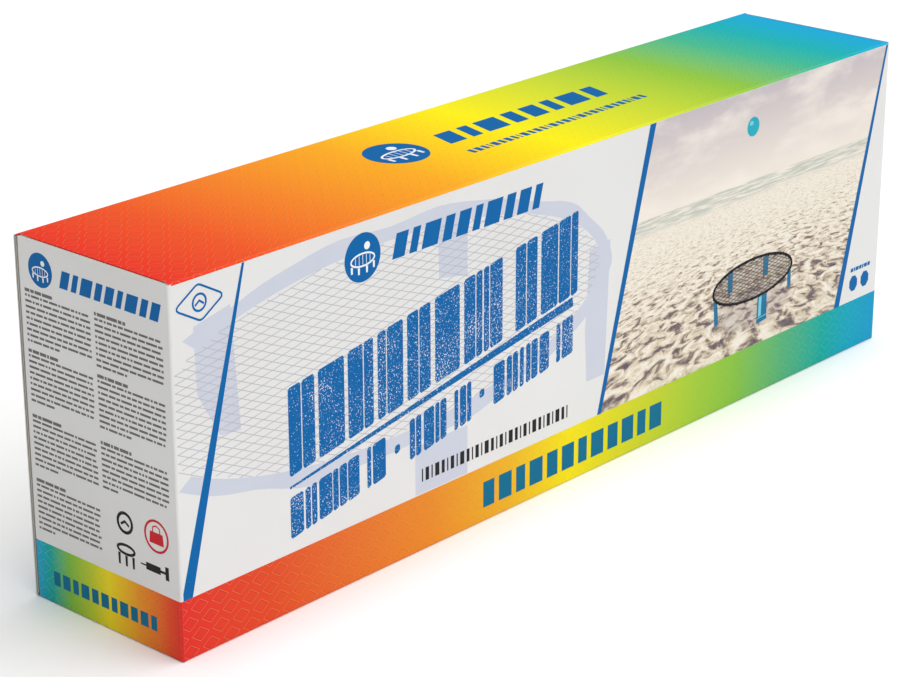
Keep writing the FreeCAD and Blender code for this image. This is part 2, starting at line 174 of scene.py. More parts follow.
def varnished(name, flutes_along="Z"):
    """A new material with the varnish's shine and the board's relief.

    Returns the material, its tree, its shader and place.

    The place is the object coordinate in millimetres.
    """
    material = bpy.data.materials.new(name)
    material.use_nodes = True
    tree = material.node_tree
    shader = tree.nodes["Principled BSDF"]
    shader.inputs["Roughness"].default_value = varnish_roughness
    shader.inputs["Specular IOR Level"].default_value = varnish_gloss
    point = add(tree, "TexCoord")
    place = add(tree, "VectorMath", [point.outputs["Object"]], operation="SCALE")
    place.inputs["Scale"].default_value = 1 / MM
    grain = add(tree, "TexNoise", {"Vector": place, "Scale": 1 / paper_grain, "Detail": 2.0})
    across = {"Z": "X", "X": "Y", "Y": "X"}[flutes_along]
    axes = add(tree, "SeparateXYZ", [place])
    phase = add(tree, "Math", [axes.outputs[across], math.tau / flute_pitch], operation="MULTIPLY")
    wave = add(tree, "Math", [phase], operation="SINE")
    grain_bump = add(tree, "Bump", {"Strength": 0.25, "Distance": 0.02 * MM, "Height": grain})
    wave_bump = add(tree, "Bump", {"Strength": 0.5, "Distance": 0.004 * MM, "Height": wave,
                                   "Normal": grain_bump})
    tree.links.new(wave_bump.outputs["Normal"], shader.inputs["Normal"])
    return material, tree, shader, place


# %% [markdown]
# ## The rainbow band
# A printed gradient is a list of inks along a line. The band runs round the foot of the carton, red at
# the front's left end and blue at its right, and comes back again round each end. The top is all gradient.
# Where it is red and where it is teal, the gradient carries a faint pattern of staggered rhombus outlines,
# each with a light line and a darker one inside it, so that it looks embossed.

# %% Gradient inks
BAND_INKS = [
    (0.00, "#E2312A"), (0.10, "#E04C26"), (0.20, "#E4712A"), (0.30, "#E88C27"), (0.40, "#EDB224"),
    (0.49, "#F4E10E"), (0.58, "#D2D426"), (0.68, "#A3C93A"), (0.75, "#86C043"), (0.83, "#53B078"),
    (0.90, "#00A79C"), (0.95, "#00A2BC"), (1.00, "#0098C6"),
]
TOP_INKS = [
    (0.00, "#EA3021"), (0.10, "#F0551F"), (0.22, "#F5861F"), (0.34, "#FBAC18"), (0.50, "#FFF000"),
    (0.62, "#D3DF2F"), (0.76, "#8FC73E"), (0.86, "#3DBB93"), (0.92, "#00B3B3"), (1.00, "#00A9E0"),
]
END_INKS = [
    (0.00, "#1FA9DC"), (0.12, "#00A9A0"), (0.25, "#7FBF45"), (0.40, "#BFCF30"), (0.52, "#F2DC20"),
    (0.72, "#EE9A28"), (0.92, "#E85028"), (1.00, "#E2312A"),
]
band_height = 33.0


def gradient(tree, position, start, stop, inks):
    """The inks' colours along a line, from start to stop in millimetres."""
    share = add(tree, "MapRange", {"Value": position, "From Min": start, "From Max": stop})
    ramp = add(tree, "ValToRGB", [share])
    stops = ramp.color_ramp.elements
    while len(stops) < len(inks):
        stops.new(0.5)
    for stop_here, (where, code) in zip(stops, inks):
        stop_here.position = where
        stop_here.color = colour(code)
    return ramp, share


# %% Rhombus pattern
rhombus_pitch = (13.7, 7.7)      # mm, along a row and between rows
rhombus_half = (5.5, 3.85)       # mm, half its width and half its height
rhombus_line = 0.085             # width of the outline, as a share of the half size


def rhombus_outlines(tree, across, up):
    """How far each point is towards the light line (1) or the dark line (-1) of the pattern."""
    row = add(tree, "Math", [up, rhombus_pitch[1]], operation="DIVIDE")
    row_number = add(tree, "Math", [row], operation="FLOOR")
    odd = add(tree, "Math", [row_number, 2.0], operation="FLOORED_MODULO")
    column = add(tree, "Math", [across, rhombus_pitch[0]], operation="DIVIDE")
    staggered = add(tree, "Math", [odd, 0.5, column], operation="MULTIPLY_ADD")
    sides = []
    for position, pitch, half in zip((staggered, row), rhombus_pitch, rhombus_half):
        inside = add(tree, "Math", [position], operation="FRACT")
        centred = add(tree, "Math", [inside, 0.5], operation="SUBTRACT")
        distance = add(tree, "Math", [centred], operation="ABSOLUTE")
        sides.append(add(tree, "Math", [distance, pitch / half], operation="MULTIPLY"))
    reach = add(tree, "Math", sides, operation="ADD")
    lines = []
    for centre in (1.0, 1.0 - 1.6 * rhombus_line):
        off = add(tree, "Math", [reach, centre], operation="SUBTRACT")
        off = add(tree, "Math", [off], operation="ABSOLUTE")
        lines.append(add(tree, "MapRange", {"Value": off, "From Min": 0.0, "From Max": rhombus_line,
                                            "To Min": 1.0, "To Max": 0.0}, interpolation_type="SMOOTHSTEP"))
    return add(tree, "Math", lines, operation="SUBTRACT")


def embossed(tree, base, across, up, share):
    """The gradient with the pattern on it, strongest towards the two ends of the gradient."""
    lines = rhombus_outlines(tree, across, up)
    fade = add(tree, "ValToRGB", [share])
    stops = fade.color_ramp.elements
    while len(stops) < 5:
        stops.new(0.5)
    amounts = ((0.0, 0.17), (0.32, 0.07), (0.66, 0.02), (0.84, 0.13), (0.96, 0.03))
    for stop, (where, amount) in zip(stops, amounts):
        stop.position = where
        stop.color = (amount, amount, amount, 1.0)
    amount = add(tree, "Math", [lines, fade], operation="MULTIPLY")
    light = add(tree, "Math", [amount, 0.0], operation="MAXIMUM")
    dark = add(tree, "Math", [amount, -2.4], operation="MULTIPLY")
    dark = add(tree, "Math", [dark, 0.0], operation="MAXIMUM")
    lit = add(tree, "Mix", [light, base, (1.0, 0.85, 0.42, 1.0)], data_type="RGBA")
    return add(tree, "Mix", [dark, lit, (0.12, 0.02, 0.02, 1.0)], data_type="RGBA")


# %% Printed board for each side of the carton
def banded_print(name, axis, inks, start, stop):
    """White board with the rainbow band along its foot. axis is the direction that the band runs in."""
    material, tree, shader, place = varnished(name)
    axes = add(tree, "SeparateXYZ", [place])
    ramp, share = gradient(tree, axes.outputs[axis], start, stop, inks)
    band = embossed(tree, ramp, axes.outputs[axis], axes.outputs["Z"], share)
    above = add(tree, "Math", [axes.outputs["Z"], band_height], operation="GREATER_THAN")
    cloud = add(tree, "TexNoise", {"Vector": place, "Scale": 0.012, "Detail": 1.0})
    ground = add(tree, "Mix", [cloud, colour("#E9E9E9"), colour("#E0DFDC")], data_type="RGBA")
    printed = add(tree, "Mix", [above, band, ground], data_type="RGBA")
    tree.links.new(printed.outputs[2], shader.inputs["Base Color"])
    return material


def rainbow_print(name):
    """Board that is all gradient, along the carton."""
    material, tree, shader, place = varnished(name, flutes_along="Y")
    axes = add(tree, "SeparateXYZ", [place])
    ramp, share = gradient(tree, axes.outputs["X"], -length / 2, length / 2, TOP_INKS)
    printed = embossed(tree, ramp, axes.outputs["X"], axes.outputs["Y"], share)
    tree.links.new(printed.outputs[2], shader.inputs["Base Color"])
    return material


front_print = banded_print("front_print_on_coated_board", "X", BAND_INKS, -length / 2, length / 2)
back_print = banded_print("back_print_on_coated_board", "X", BAND_INKS, length / 2, -length / 2)
left_print = banded_print("left_end_print_on_coated_board", "Y", END_INKS, depth / 2, -depth / 2)
right_print = banded_print("right_end_print_on_coated_board", "Y", END_INKS, -depth / 2, depth / 2)
top_print = rainbow_print("top_print_on_coated_board")
print("prints for the front, back, ends and top")

# %% [markdown]
# ## Board in three layers
# Corrugated board is a wave of paper between two flat liners, and only the outer liner is printed. A
# printed texture on a plain slab would hide that, and the cut edges would look like plastic. Each panel
# is therefore copied from the CAD model, its loose triangles are merged, and the copy is cut by planes
# parallel to its outer face: the shallow slice is the printed liner and the deepest slice is the plain
# grey-white liner inside. The wave between them is a finely divided strip, given a sine shape and a wall,
# and trimmed by the panel's outline with a Boolean modifier. Printed ink is a film on the outer liner, so
# that liner lies a little way in.

# %% Depths through the board
ink_room = 0.20            # mm kept for ink between the panel's true face and the printed liner
outer_liner = 0.25
board_thickness = 1.6
inner_liner = 0.28
wave_paper = 0.2
crease_radius = 1.1        # outside radius of the printed liner at a folded corner
tuck_radius = 0.6          # the same at the sharper crease between a lid and its tuck flap


def select_only(piece):
    """Makes this piece the only selected one, and the active one."""
    bpy.ops.object.select_all(action="DESELECT")
    piece.select_set(True)
    bpy.context.view_layer.objects.active = piece


def cad_copy(node, name):
    """A copy of a CAD node with its own mesh, its triangles merged."""
    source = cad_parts[node]
    piece = bpy.data.objects.new(name, source.data.copy())
    bpy.context.scene.collection.objects.link(piece)
    piece.data.materials.clear()
    select_only(piece)
    bpy.ops.object.mode_set(mode="EDIT")
    bpy.ops.mesh.select_all(action="SELECT")
    bpy.ops.mesh.remove_doubles(threshold=0.001 * MM)
    bpy.ops.mesh.customdata_custom_splitnormals_clear()
    bpy.ops.object.mode_set(mode="OBJECT")
    return piece


def cut_away(piece, point, towards):
    """Removes what lies beyond a plane through point, on the side it faces, and closes the cut."""
    select_only(piece)
    bpy.ops.object.mode_set(mode="EDIT")
    bpy.ops.mesh.select_all(action="SELECT")
    bpy.ops.mesh.bisect(plane_co=point, plane_no=towards, use_fill=True, clear_outer=True)
    bpy.ops.object.mode_set(mode="OBJECT")


def layer(node, name, face_point, outside, shallow, deep):
    """The slice of a board panel between two depths, in mm, under its outer face."""
    piece = cad_copy(node, name)
    outside = Vector(outside)
    face_point = Vector(face_point)
    cut_away(piece, face_point - outside * shallow * MM, outside)
    cut_away(piece, face_point - outside * deep * MM, -outside)
    return piece


def paint(piece, *materials):
    piece.data.materials.clear()
    for material in materials:
        piece.data.materials.append(material)


# %% Grey-white paper inside
def print_one_side(piece, print_here, is_outside):
    """Prints the faces that is_outside picks, and leaves the rest of the piece as bare paper."""
    paint(piece, print_here, inside)
    for face in piece.data.polygons:
        face.material_index = 0 if is_outside(face) else 1


def inside_paper():
    """Grey-white recycled paper: matt, with short pale and dark fibres lying every way, and faint clouds."""
    material = bpy.data.materials.new("grey_white_recycled_paper")
    material.use_nodes = True
    tree = material.node_tree
    shader = tree.nodes["Principled BSDF"]
    shader.inputs["Roughness"].default_value = 0.85
    shader.inputs["Specular IOR Level"].default_value = 0.2
    point = add(tree, "TexCoord")
    place = add(tree, "VectorMath", [point.outputs["Object"]], operation="SCALE")
    place.inputs["Scale"].default_value = 1 / MM
    fibres = add(tree, "TexNoise", {"Vector": place, "Scale": 1.1, "Detail": 6.0, "Roughness": 0.7})
    clouds = add(tree, "TexNoise", {"Vector": place, "Scale": 0.03, "Detail": 2.0})
    specks = add(tree, "TexVoronoi", {"Vector": place, "Scale": 0.22})
    tone = add(tree, "Mix", [fibres, colour("#BDB9B1"), colour("#E4E1DA")], data_type="RGBA")
    faint = add(tree, "Math", [clouds, 0.6], operation="MULTIPLY")
    shade = add(tree, "Mix", [faint, tone.outputs[2], colour("#CFCBC2")], data_type="RGBA")
    dark = add(tree, "Math", [specks.outputs["Distance"], 0.07], operation="LESS_THAN")
    dark = add(tree, "Math", [dark, 0.45], operation="MULTIPLY")
    shade = add(tree, "Mix", [dark, shade.outputs[2], colour("#7E7A72")], data_type="RGBA")
    bump = add(tree, "Bump", {"Strength": 0.5, "Distance": 0.06 * MM, "Height": fibres})
    tree.links.new(shade.outputs[2], shader.inputs["Base Color"])
    tree.links.new(bump.outputs["Normal"], shader.inputs["Normal"])
    return material


inside = inside_paper()

# %% [markdown]
# ## The panels
# Every panel is described by a point on its outer face, the way it faces and the way its flutes run across.
# The folded edges are cut back by the crease's radius, and a rounded strip closes each of them further on.

# %% Where every panel is
half_length, half_depth = length / 2, depth / 2
lean = math.radians(10.0)
dust_face = 298.1          # mm from the carton's middle to a dust flap's outer face
lid_far_y = 53.8           # mm from the carton's middle to a lid's far edge, where its tuck flap turns
leaning_out = (math.sin(lean), math.cos(lean), 0.0)
X, Y, Z = Vector((1, 0, 0)), Vector((0, 1, 0)), Vector((0, 0, 1))
PANELS = [
    # node, body, point on the outer face, outward, across the flutes, along the flutes, print
    ("front_panel", "root", (0, -half_depth, 0), (0, -1, 0), X, Z, front_print),
    ("back_panel", "root", (0, half_depth, 0), (0, 1, 0), X, Z, back_print),
    ("top_panel", "root", (0, 0, height), (0, 0, 1), X, Y, top_print),
    ("bottom_panel", "root", (0, 0, 0), (0, 0, -1), X, Y, top_print),
    ("left_lid", "left_lid", (-half_length, 0, 0), (-1, 0, 0), Y, Z, left_print),
    ("right_lid", "right_lid", (half_length, 0, 0), (1, 0, 0), Y, Z, right_print),
    ("left_tuck_flap", "left_tuck_flap", (-half_length, lid_far_y, 0), leaning_out, X, Z, left_print),
    ("right_tuck_flap", "right_tuck_flap", (half_length, lid_far_y, 0),
     (-leaning_out[0], leaning_out[1], 0.0), X, Z, right_print),
    ("left_top_dust_flap", "left_top_dust_flap", (-dust_face, 0, 0), (-1, 0, 0), Y, Z, top_print),
    ("right_top_dust_flap", "right_top_dust_flap", (dust_face, 0, 0), (1, 0, 0), Y, Z, top_print),
    ("left_bottom_dust_flap", "left_bottom_dust_flap", (-dust_face, 0, 0), (-1, 0, 0), Y, Z, top_print),
    ("right_bottom_dust_flap", "right_bottom_dust_flap", (dust_face, 0, 0), (1, 0, 0), Y, Z, top_print),
    ("glue_flap", "root", (0, 0, board_thickness), (0, 0, -1), X, Y, inside),
]
setback = ink_room + crease_radius
tuck_setback = ink_room + tuck_radius
TRIMS = {
    "front_panel": [((0, 0, height - setback), Z), ((0, 0, setback), -Z),
                    ((-half_length + setback, 0, 0), -X), ((half_length - setback, 0, 0), X)],
    "back_panel": [((0, 0, height - setback), Z), ((0, 0, setback), -Z)],
    "top_panel": [((0, half_depth - setback, 0), Y), ((0, -half_depth + setback, 0), -Y)],
    "bottom_panel": [((0, half_depth - setback, 0), Y), ((0, -half_depth + setback, 0), -Y)],
    "left_lid": [((0, -half_depth + setback, 0), -Y), ((0, lid_far_y - tuck_setback, 0), Y)],
    "right_lid": [((0, -half_depth + setback, 0), -Y), ((0, lid_far_y - tuck_setback, 0), Y)],
    "left_tuck_flap": [((-half_length + tuck_setback, 0, 0), -X)],
    "right_tuck_flap": [((half_length - tuck_setback, 0, 0), X)],
}


def mm(values):
    return Vector(values) * MM


def wave_core(node, name, face_point, outside, across, along):
    """The fluted paper inside one panel: a divided strip with a sine shape, trimmed by its outline."""
    outline = cad_copy(node, name + "_outline")
    corners = [v.co for v in outline.data.vertices]
    outside, across, along = Vector(outside).normalized(), Vector(across), Vector(along)
    across = (across - outside * across.dot(outside)).normalized()
    low_across, high_across = min(c.dot(across) for c in corners), max(c.dot(across) for c in corners)
    low_along, high_along = min(c.dot(along) for c in corners), max(c.dot(along) for c in corners)
    span = (high_across - low_across) / MM + 2
    reach = (high_along - low_along) / MM + 2
    steps = max(8, int(span / flute_pitch * 8))
    bpy.ops.object.select_all(action="DESELECT")
    bpy.ops.mesh.primitive_grid_add(x_subdivisions=steps, y_subdivisions=1, size=2)
    wave = bpy.context.object
    wave.name = name
    top, bottom = ink_room + outer_liner, board_thickness - inner_liner
    swing = (bottom - top - wave_paper) / 2
    for vertex in wave.data.vertices:
        u = vertex.co.x * span / 2
        vertex.co = (u, vertex.co.y * reach / 2, swing * math.sin(math.tau * u / flute_pitch))
    paper = wave.modifiers.new("paper", "SOLIDIFY")
    paper.thickness = wave_paper
    paper.offset = 0.0
    bpy.ops.object.modifier_apply(modifier="paper")
    middle = across * (low_across + high_across) / 2 + along * (low_along + high_along) / 2
    depth_here = Vector(face_point).dot(outside) - (top + bottom) / 2 * MM
    place = Matrix((across, along, across.cross(along))).transposed().to_4x4()
    wave.matrix_world = Matrix.Translation(middle + outside * depth_here) @ place @ Matrix.Scale(MM, 4)
    bpy.ops.object.transform_apply(location=True, rotation=True, scale=True)
    trim = wave.modifiers.new("trim", "BOOLEAN")
    trim.operation = "INTERSECT"
    trim.solver = "EXACT"
    trim.object = outline
    bpy.ops.object.modifier_apply(modifier="trim")
    bpy.data.objects.remove(outline)
    return wave


# %% Closed edges
# The knife that cuts the blank crushes the board. Cut edges that show are closed with paper: right at the
# edge where the flutes run along it, and a little way in where they end in it, so that the wave still
# shows.
edge_flare = 0.42          # mm that the back panel's crushed edge spreads towards the lid
lid_relief = 0.5           # mm that a lid's top and bottom edges stand back
LID_EDGES = [((0, 0, height - lid_relief), Z, 0.12, 0.5), ((0, 0, lid_relief), -Z, 0.12, 0.5)]
CLOSED_EDGES = {
    # node: point on the edge, the way the edge faces, depths between which the paper lies
    "back_panel": [((-half_length, 0, 0), -X, 0.05, 0.5), ((half_length, 0, 0), X, 0.05, 0.5)],
    "left_lid": LID_EDGES,
    "right_lid": LID_EDGES,
}


def flare(edge):
    """Spreads the outermost inner corner of the back panel's crushed edge, which narrows the slit."""
    inner_face = (half_depth - board_thickness) * MM
    for vertex in edge.data.vertices:
        if vertex.co.y < inner_face + 0.01 * MM and abs(vertex.co.x) > (half_length - 0.3) * MM:
            vertex.co.y -= edge_flare * MM


# %% Slice every panel
for node, body, point, outside, across, along, print_here in PANELS:
    point = mm(point)
    liner = layer(node, node + "_printed_liner", point, outside, ink_room, ink_room + outer_liner)
    for trim_point, towards in TRIMS.get(node, []):
        cut_away(liner, mm(trim_point), towards)
    facing = Vector(outside)
    print_one_side(liner, print_here, lambda face: face.normal.dot(facing) > 0.5)
    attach(liner, body)
    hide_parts(node)
    inner = layer(node, node + "_inside_and_wave", point, outside, board_thickness - inner_liner,
                  board_thickness)
    wave = wave_core(node, node + "_wave", point, outside, across, along)
    for trim_point, towards in TRIMS.get(node, []):
        cut_away(wave, mm(trim_point), towards)
    parts = [wave]
    for edge_point, towards, shallow, deep in CLOSED_EDGES.get(node, []):
        edge = layer(node, node + "_closed_edge", mm(edge_point), towards, shallow, deep)
        cut_away(edge, point - Vector(outside) * (ink_room + outer_liner) * MM, outside)
        if node == "back_panel":
            flare(edge)
        else:
            cut_away(edge, mm((0, lid_far_y - tuck_setback, 0)), Y)
        parts.append(edge)
    select_only(inner)
    for part in parts:
        part.select_set(True)
    bpy.ops.object.join()
    paint(inner, inside)
    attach(inner, body)
    print(node, len(inner.data.polygons), "faces inside")

# %% [markdown]
# ## Creases
# At a crease the printed liner bends round in one piece. Each strip is a short line spun through the angle of
# the fold, stretched along the crease and given a wall. The strips along the carton are fixed to it. Those
# that a lid or a flap turns on keep the closed carton's shape and are fixed to no part.

# %% Crease strips
def crease(name, centre, start, turn_degrees, along, reach, print_here, wing=1.2, outer_radius=crease_radius):
    """A rounded strip: a wing, an arc about centre from the direction start, and a second wing."""
    bpy.ops.object.select_all(action="DESELECT")
    along, start = Vector(along).normalized(), Vector(start).normalized()
    side = along.cross(start)
    steps = 8
    line = []
    turn_angle = math.radians(turn_degrees)
    back = math.copysign(wing, turn_angle)      # the wings lead away from the turn
    tuck_under = 0.03
    radius = outer_radius - tuck_under
    line.append(start * radius - side * back)
    for i in range(steps + 1):
        angle = turn_angle * i / steps
        line.append((start * math.cos(angle) + side * math.sin(angle)) * radius)
    end = start * math.cos(turn_angle) + side * math.sin(turn_angle)
    line.append(end * radius + along.cross(end) * back)
    bpy.ops.mesh.primitive_grid_add(x_subdivisions=len(line) - 1, y_subdivisions=1, size=2)
    strip = bpy.context.object
    strip.name = name
    columns = sorted({round(v.co.x, 5) for v in strip.data.vertices})
    for vertex in strip.data.vertices:
        which = columns.index(round(vertex.co.x, 5))
        vertex.co = mm(centre) + mm(line[which]) + along * (vertex.co.y * reach / 2 * MM)
    wall = strip.modifiers.new("wall", "SOLIDIFY")
    wall.thickness = outer_liner * MM
    wall.offset = 0.0
    inwards = strip.data.polygons[0].normal.dot(start) > 0
    wall.offset = -1.0 if inwards else 1.0
    bpy.ops.object.modifier_apply(modifier="wall")
    select_only(strip)
    bpy.ops.object.mode_set(mode="EDIT")
    bpy.ops.mesh.select_all(action="SELECT")
    bpy.ops.mesh.normals_make_consistent(inside=False)
    bpy.ops.object.mode_set(mode="OBJECT")
    bpy.ops.object.shade_smooth_by_angle(angle=math.radians(50))
    axis_point = mm(centre)
    print_one_side(strip, print_here, lambda face: abs(face.normal.dot(along)) < 0.5
                   and face.normal.dot(face.center - axis_point) > 0.5 * radius * MM)
    return strip


fold_y = half_depth - setback
fold_top = height - setback
front_reach = 2 * (half_length - setback)      # the lids' own creases finish the front corners
back_reach = 2 * (half_length - 0.06)
for name, centre, start, reach, print_here in (
    ("front_top_crease", (0, -fold_y, fold_top), -Y, front_reach, top_print),
    ("back_top_crease", (0, fold_y, fold_top), Z, back_reach, top_print),
    ("front_bottom_crease", (0, -fold_y, setback), -Z, front_reach, front_print),
    ("back_bottom_crease", (0, fold_y, setback), Y, back_reach, back_print),
):
    strip = crease(name, centre, start, -90, X, reach, print_here)
    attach(strip, "root")

tuck_margin = 6.5          # mm that the tuck flap's crease stops short of the lid's top and bottom
for side, end in (("left", -1), ("right", 1)):
    print_here = left_print if side == "left" else right_print
    centre = (end * (half_length - setback), -half_depth + setback, height / 2)
    hinge = crease(side + "_lid_crease", centre, Vector((end, 0, 0)), -90 * end, Z, height - 2 * lid_relief,
                   print_here, wing=1.0)
    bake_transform(hinge)
    centre = (end * (half_length - tuck_setback), lid_far_y - tuck_setback, height / 2)
    tuck = crease(side + "_tuck_crease", centre, Vector((end, 0, 0)), 80 * end, Z, height - 2 * tuck_margin,
                  print_here, wing=0.8, outer_radius=tuck_radius)
    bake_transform(tuck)


# %% Thin papers that span the hinges
def hinge_paper(name, first, corner, last, along, reach, bodies, print_here, thickness=0.1):
    """A narrow paper over a crease, from first to last by way of the corner."""
    bpy.ops.object.select_all(action="DESELECT")
    bpy.ops.mesh.primitive_grid_add(x_subdivisions=6, y_subdivisions=1, size=2)
    strip = bpy.context.object
    strip.name = name
    first, corner, last, along = Vector(first), Vector(corner), Vector(last), Vector(along)
    line = [first, first.lerp(corner, 0.5), first.lerp(corner, 0.85), corner.lerp((first + last) / 2, 0.08),
            corner.lerp(last, 0.15), corner.lerp(last, 0.5), last]
    columns = sorted({round(v.co.x, 5) for v in strip.data.vertices})
    for vertex in strip.data.vertices:
        which = columns.index(round(vertex.co.x, 5))
        vertex.co = mm(line[which] + along * (vertex.co.y * reach / 2))
    wall = strip.modifiers.new("wall", "SOLIDIFY")
    wall.thickness = thickness * MM
    wall.offset = 0.0
    bpy.ops.object.modifier_apply(modifier="wall")
    bpy.ops.object.mode_set(mode="EDIT")
    bpy.ops.mesh.select_all(action="SELECT")
    bpy.ops.mesh.normals_make_consistent(inside=False)
    bpy.ops.object.mode_set(mode="OBJECT")
    bulge = corner - (first + last) / 2
    print_one_side(strip, print_here, lambda face: face.normal.dot(bulge) > 0)
    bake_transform(strip)
    return strip


middle_z = height / 2
dust_near, dust_far = -50.34, 44.89     # mm, the dust flaps' near and far edges
dust_middle, dust_span = (dust_near + dust_far) / 2, dust_far - dust_near - 1.0
# Where the papers inside the lid's hinges start, turn and end: mm in from the carton's end, and mm across it.
lid_paper = ((3.4, -54.34), (1.68, -54.32), (1.68, -52.6))
tuck_paper_start = (1.66, 50.2)
tuck_inner = Vector((half_length - 1.65, 51.83))
# The dust flaps' papers: mm from the outer face to the paper, and to its far edge, outside and inside the
# board.
outer_skin, outer_reach = 0.1, 1.6
inner_skin, inner_reach = 1.66, 3.3


def at_end(end, place):
    """A point at half height, place in from the left end (end -1) or the right end (end 1)."""
    return end * (half_length - place[0]), place[1], middle_z


for side, end in (("left", -1), ("right", 1)):
    hinge_paper(side + "_lid_crease_inside", *[at_end(end, place) for place in lid_paper],
                Z, height - 3.6, ("root", side + "_lid"), inside)
    tuck_last = (end * (tuck_inner.x - outer_reach * math.cos(lean)),
                 tuck_inner.y - outer_reach * math.sin(lean) - 0.06, middle_z)
    hinge_paper(side + "_tuck_crease_inside", at_end(end, tuck_paper_start),
                (end * (tuck_inner.x - 0.02), tuck_inner.y - 0.04, middle_z), tuck_last,
                Z, height - 2 * tuck_margin, (side + "_lid", side + "_tuck_flap"), inside)
    for level, sign, z in (("top", 1, height), ("bottom", -1, 0.0)):
        flap = f"{side}_{level}_dust_flap"
        for ending, skin, reach, paper in (("_crease", outer_skin, outer_reach, top_print),
                                           ("_crease_inside", inner_skin, inner_reach, inside)):
            hinge_paper(flap + ending, (end * (dust_face - reach), dust_middle, z - sign * skin),
                        (end * (dust_face - skin), dust_middle, z - sign * skin),
                        (end * (dust_face - skin), dust_middle, z - sign * reach),
                        Y, dust_span, ("root", flap), paper)
print("creases folded, and papers over the hinges")


# %% [markdown]
# ## Ink as thin film
# Flat colour printed on board is a shape with a crisp edge. A picture mapped on the face would blur that edge
# as soon as one came near, so each ink is modelled: flat shapes, laid out in millimetres from the face's top
# left corner, are given the thickness of a thick ink film. The shapes of one drawing on one face are one
# piece. Films that lie over others are a step thicker, so that no two surfaces ever coincide. For the same
# reason the net is two drawings, one for the lines that fall and one for the lines that rise.

# %% Drawing on a face
ink_step = 0.045           # mm of height for each film over another
ink_root = 0.03            # mm that a film reaches into the liner


def face_place(corner, right, down):
    """The matrix that carries a drawing, in mm from the face's top left corner, onto the carton."""
    right, up = Vector(right), -Vector(down)
    out = right.cross(up)
    turned = Matrix((right, up, out)).transposed().to_4x4()
    return Matrix.Translation(mm(corner) - out * ink_room * MM) @ turned @ Matrix.Scale(MM, 4)


FACES = {
    "front": (face_place((-half_length, -half_depth, height), X, -Z), "root"),
    "back": (face_place((half_length, half_depth, height), -X, -Z), "root"),
    "top": (face_place((-half_length, half_depth, height), X, -Y), "root"),
    "left": (face_place((-half_length, half_depth, height), -Y, -Z), "left_lid"),
    "right": (face_place((half_length, -half_depth, height), Y, -Z), "right_lid"),
}


def begin_drawing(name):
    """An empty mesh in edit mode, ready for shapes."""
    bpy.ops.object.select_all(action="DESELECT")
    drawing = bpy.data.objects.new(name, bpy.data.meshes.new(name))
    bpy.context.scene.collection.objects.link(drawing)
    select_only(drawing)
    bpy.ops.object.mode_set(mode="EDIT")
    return drawing


def patch(corners):
    """Adds one flat shape to the drawing in hand. Its corners are x from the left and y down from the top."""
    corners = list(corners)
    twice_area = sum(a[0] * b[1] - b[0] * a[1] for a, b in zip(corners, corners[1:] + corners[:1]))
    if twice_area > 0:
        corners.reverse()
    bpy.ops.mesh.primitive_circle_add(vertices=len(corners), radius=1, fill_type="NGON")
    shapes = bmesh.from_edit_mesh(bpy.context.object.data)
    shapes.verts.ensure_lookup_table()
    for vertex, (x, y) in zip(shapes.verts[-len(corners):], corners):
        vertex.co = (x, -y, 0)


def stroke(points, width, closed=False):
    """Adds a line through the points. width is one number, or the widths at its two ends."""
    first, last = width if isinstance(width, tuple) else (width, width)
    count = len(points)
    lefts, rights = [], []
    for i, (x, y) in enumerate(points):
        before = points[i - 1] if i or closed else points[i]
        after = points[(i + 1) % count] if i < count - 1 or closed else points[i]
        along = Vector((after[0] - before[0], after[1] - before[1])).normalized()
        half = (first + (last - first) * i / (count - 1)) / 2
        if 0 < i < count - 1 or closed:
            inward = Vector((x - before[0], y - before[1])).normalized()
            half /= max(0.4, inward.dot(along))
        lefts.append((x - along.y * half, y + along.x * half))
        rights.append((x + along.y * half, y - along.x * half))
    for i in range(count if closed else count - 1):
        j = (i + 1) % count
        patch((lefts[i], lefts[j], rights[j], rights[i]))


def oval(centre, across, down, count=48, start=0.0):
    """Points round an ellipse."""
    turns = [math.tau * i / count + start for i in range(count)]
    return [(centre[0] + across * math.cos(t), centre[1] + down * math.sin(t)) for t in turns]


def end_drawing(drawing, level, faces, ink):
    """Gives the drawing its film, and a copy of it to each face."""
    bpy.ops.mesh.select_all(action="SELECT")
    bpy.ops.mesh.remove_doubles(threshold=0.002)
    bpy.ops.object.mode_set(mode="OBJECT")
    film = drawing.modifiers.new("film", "SOLIDIFY")
    film.thickness = ink_root + level * ink_step
    film.offset = 1.0
    bpy.ops.object.modifier_apply(modifier="film")
    paint(drawing, ink)
    for face in faces:
        place, body = FACES[face]
        piece = bpy.data.objects.new(face + "_" + drawing.name, drawing.data.copy())
        bpy.context.scene.collection.objects.link(piece)
        select_only(piece)
        piece.matrix_world = place @ Matrix.Translation((0, 0, -ink_root))
        bpy.ops.object.transform_apply(location=True, rotation=True, scale=True)
        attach(piece, body)
    print(drawing.name, len(drawing.data.polygons), "faces, on", ", ".join(faces))
    bpy.data.objects.remove(drawing)


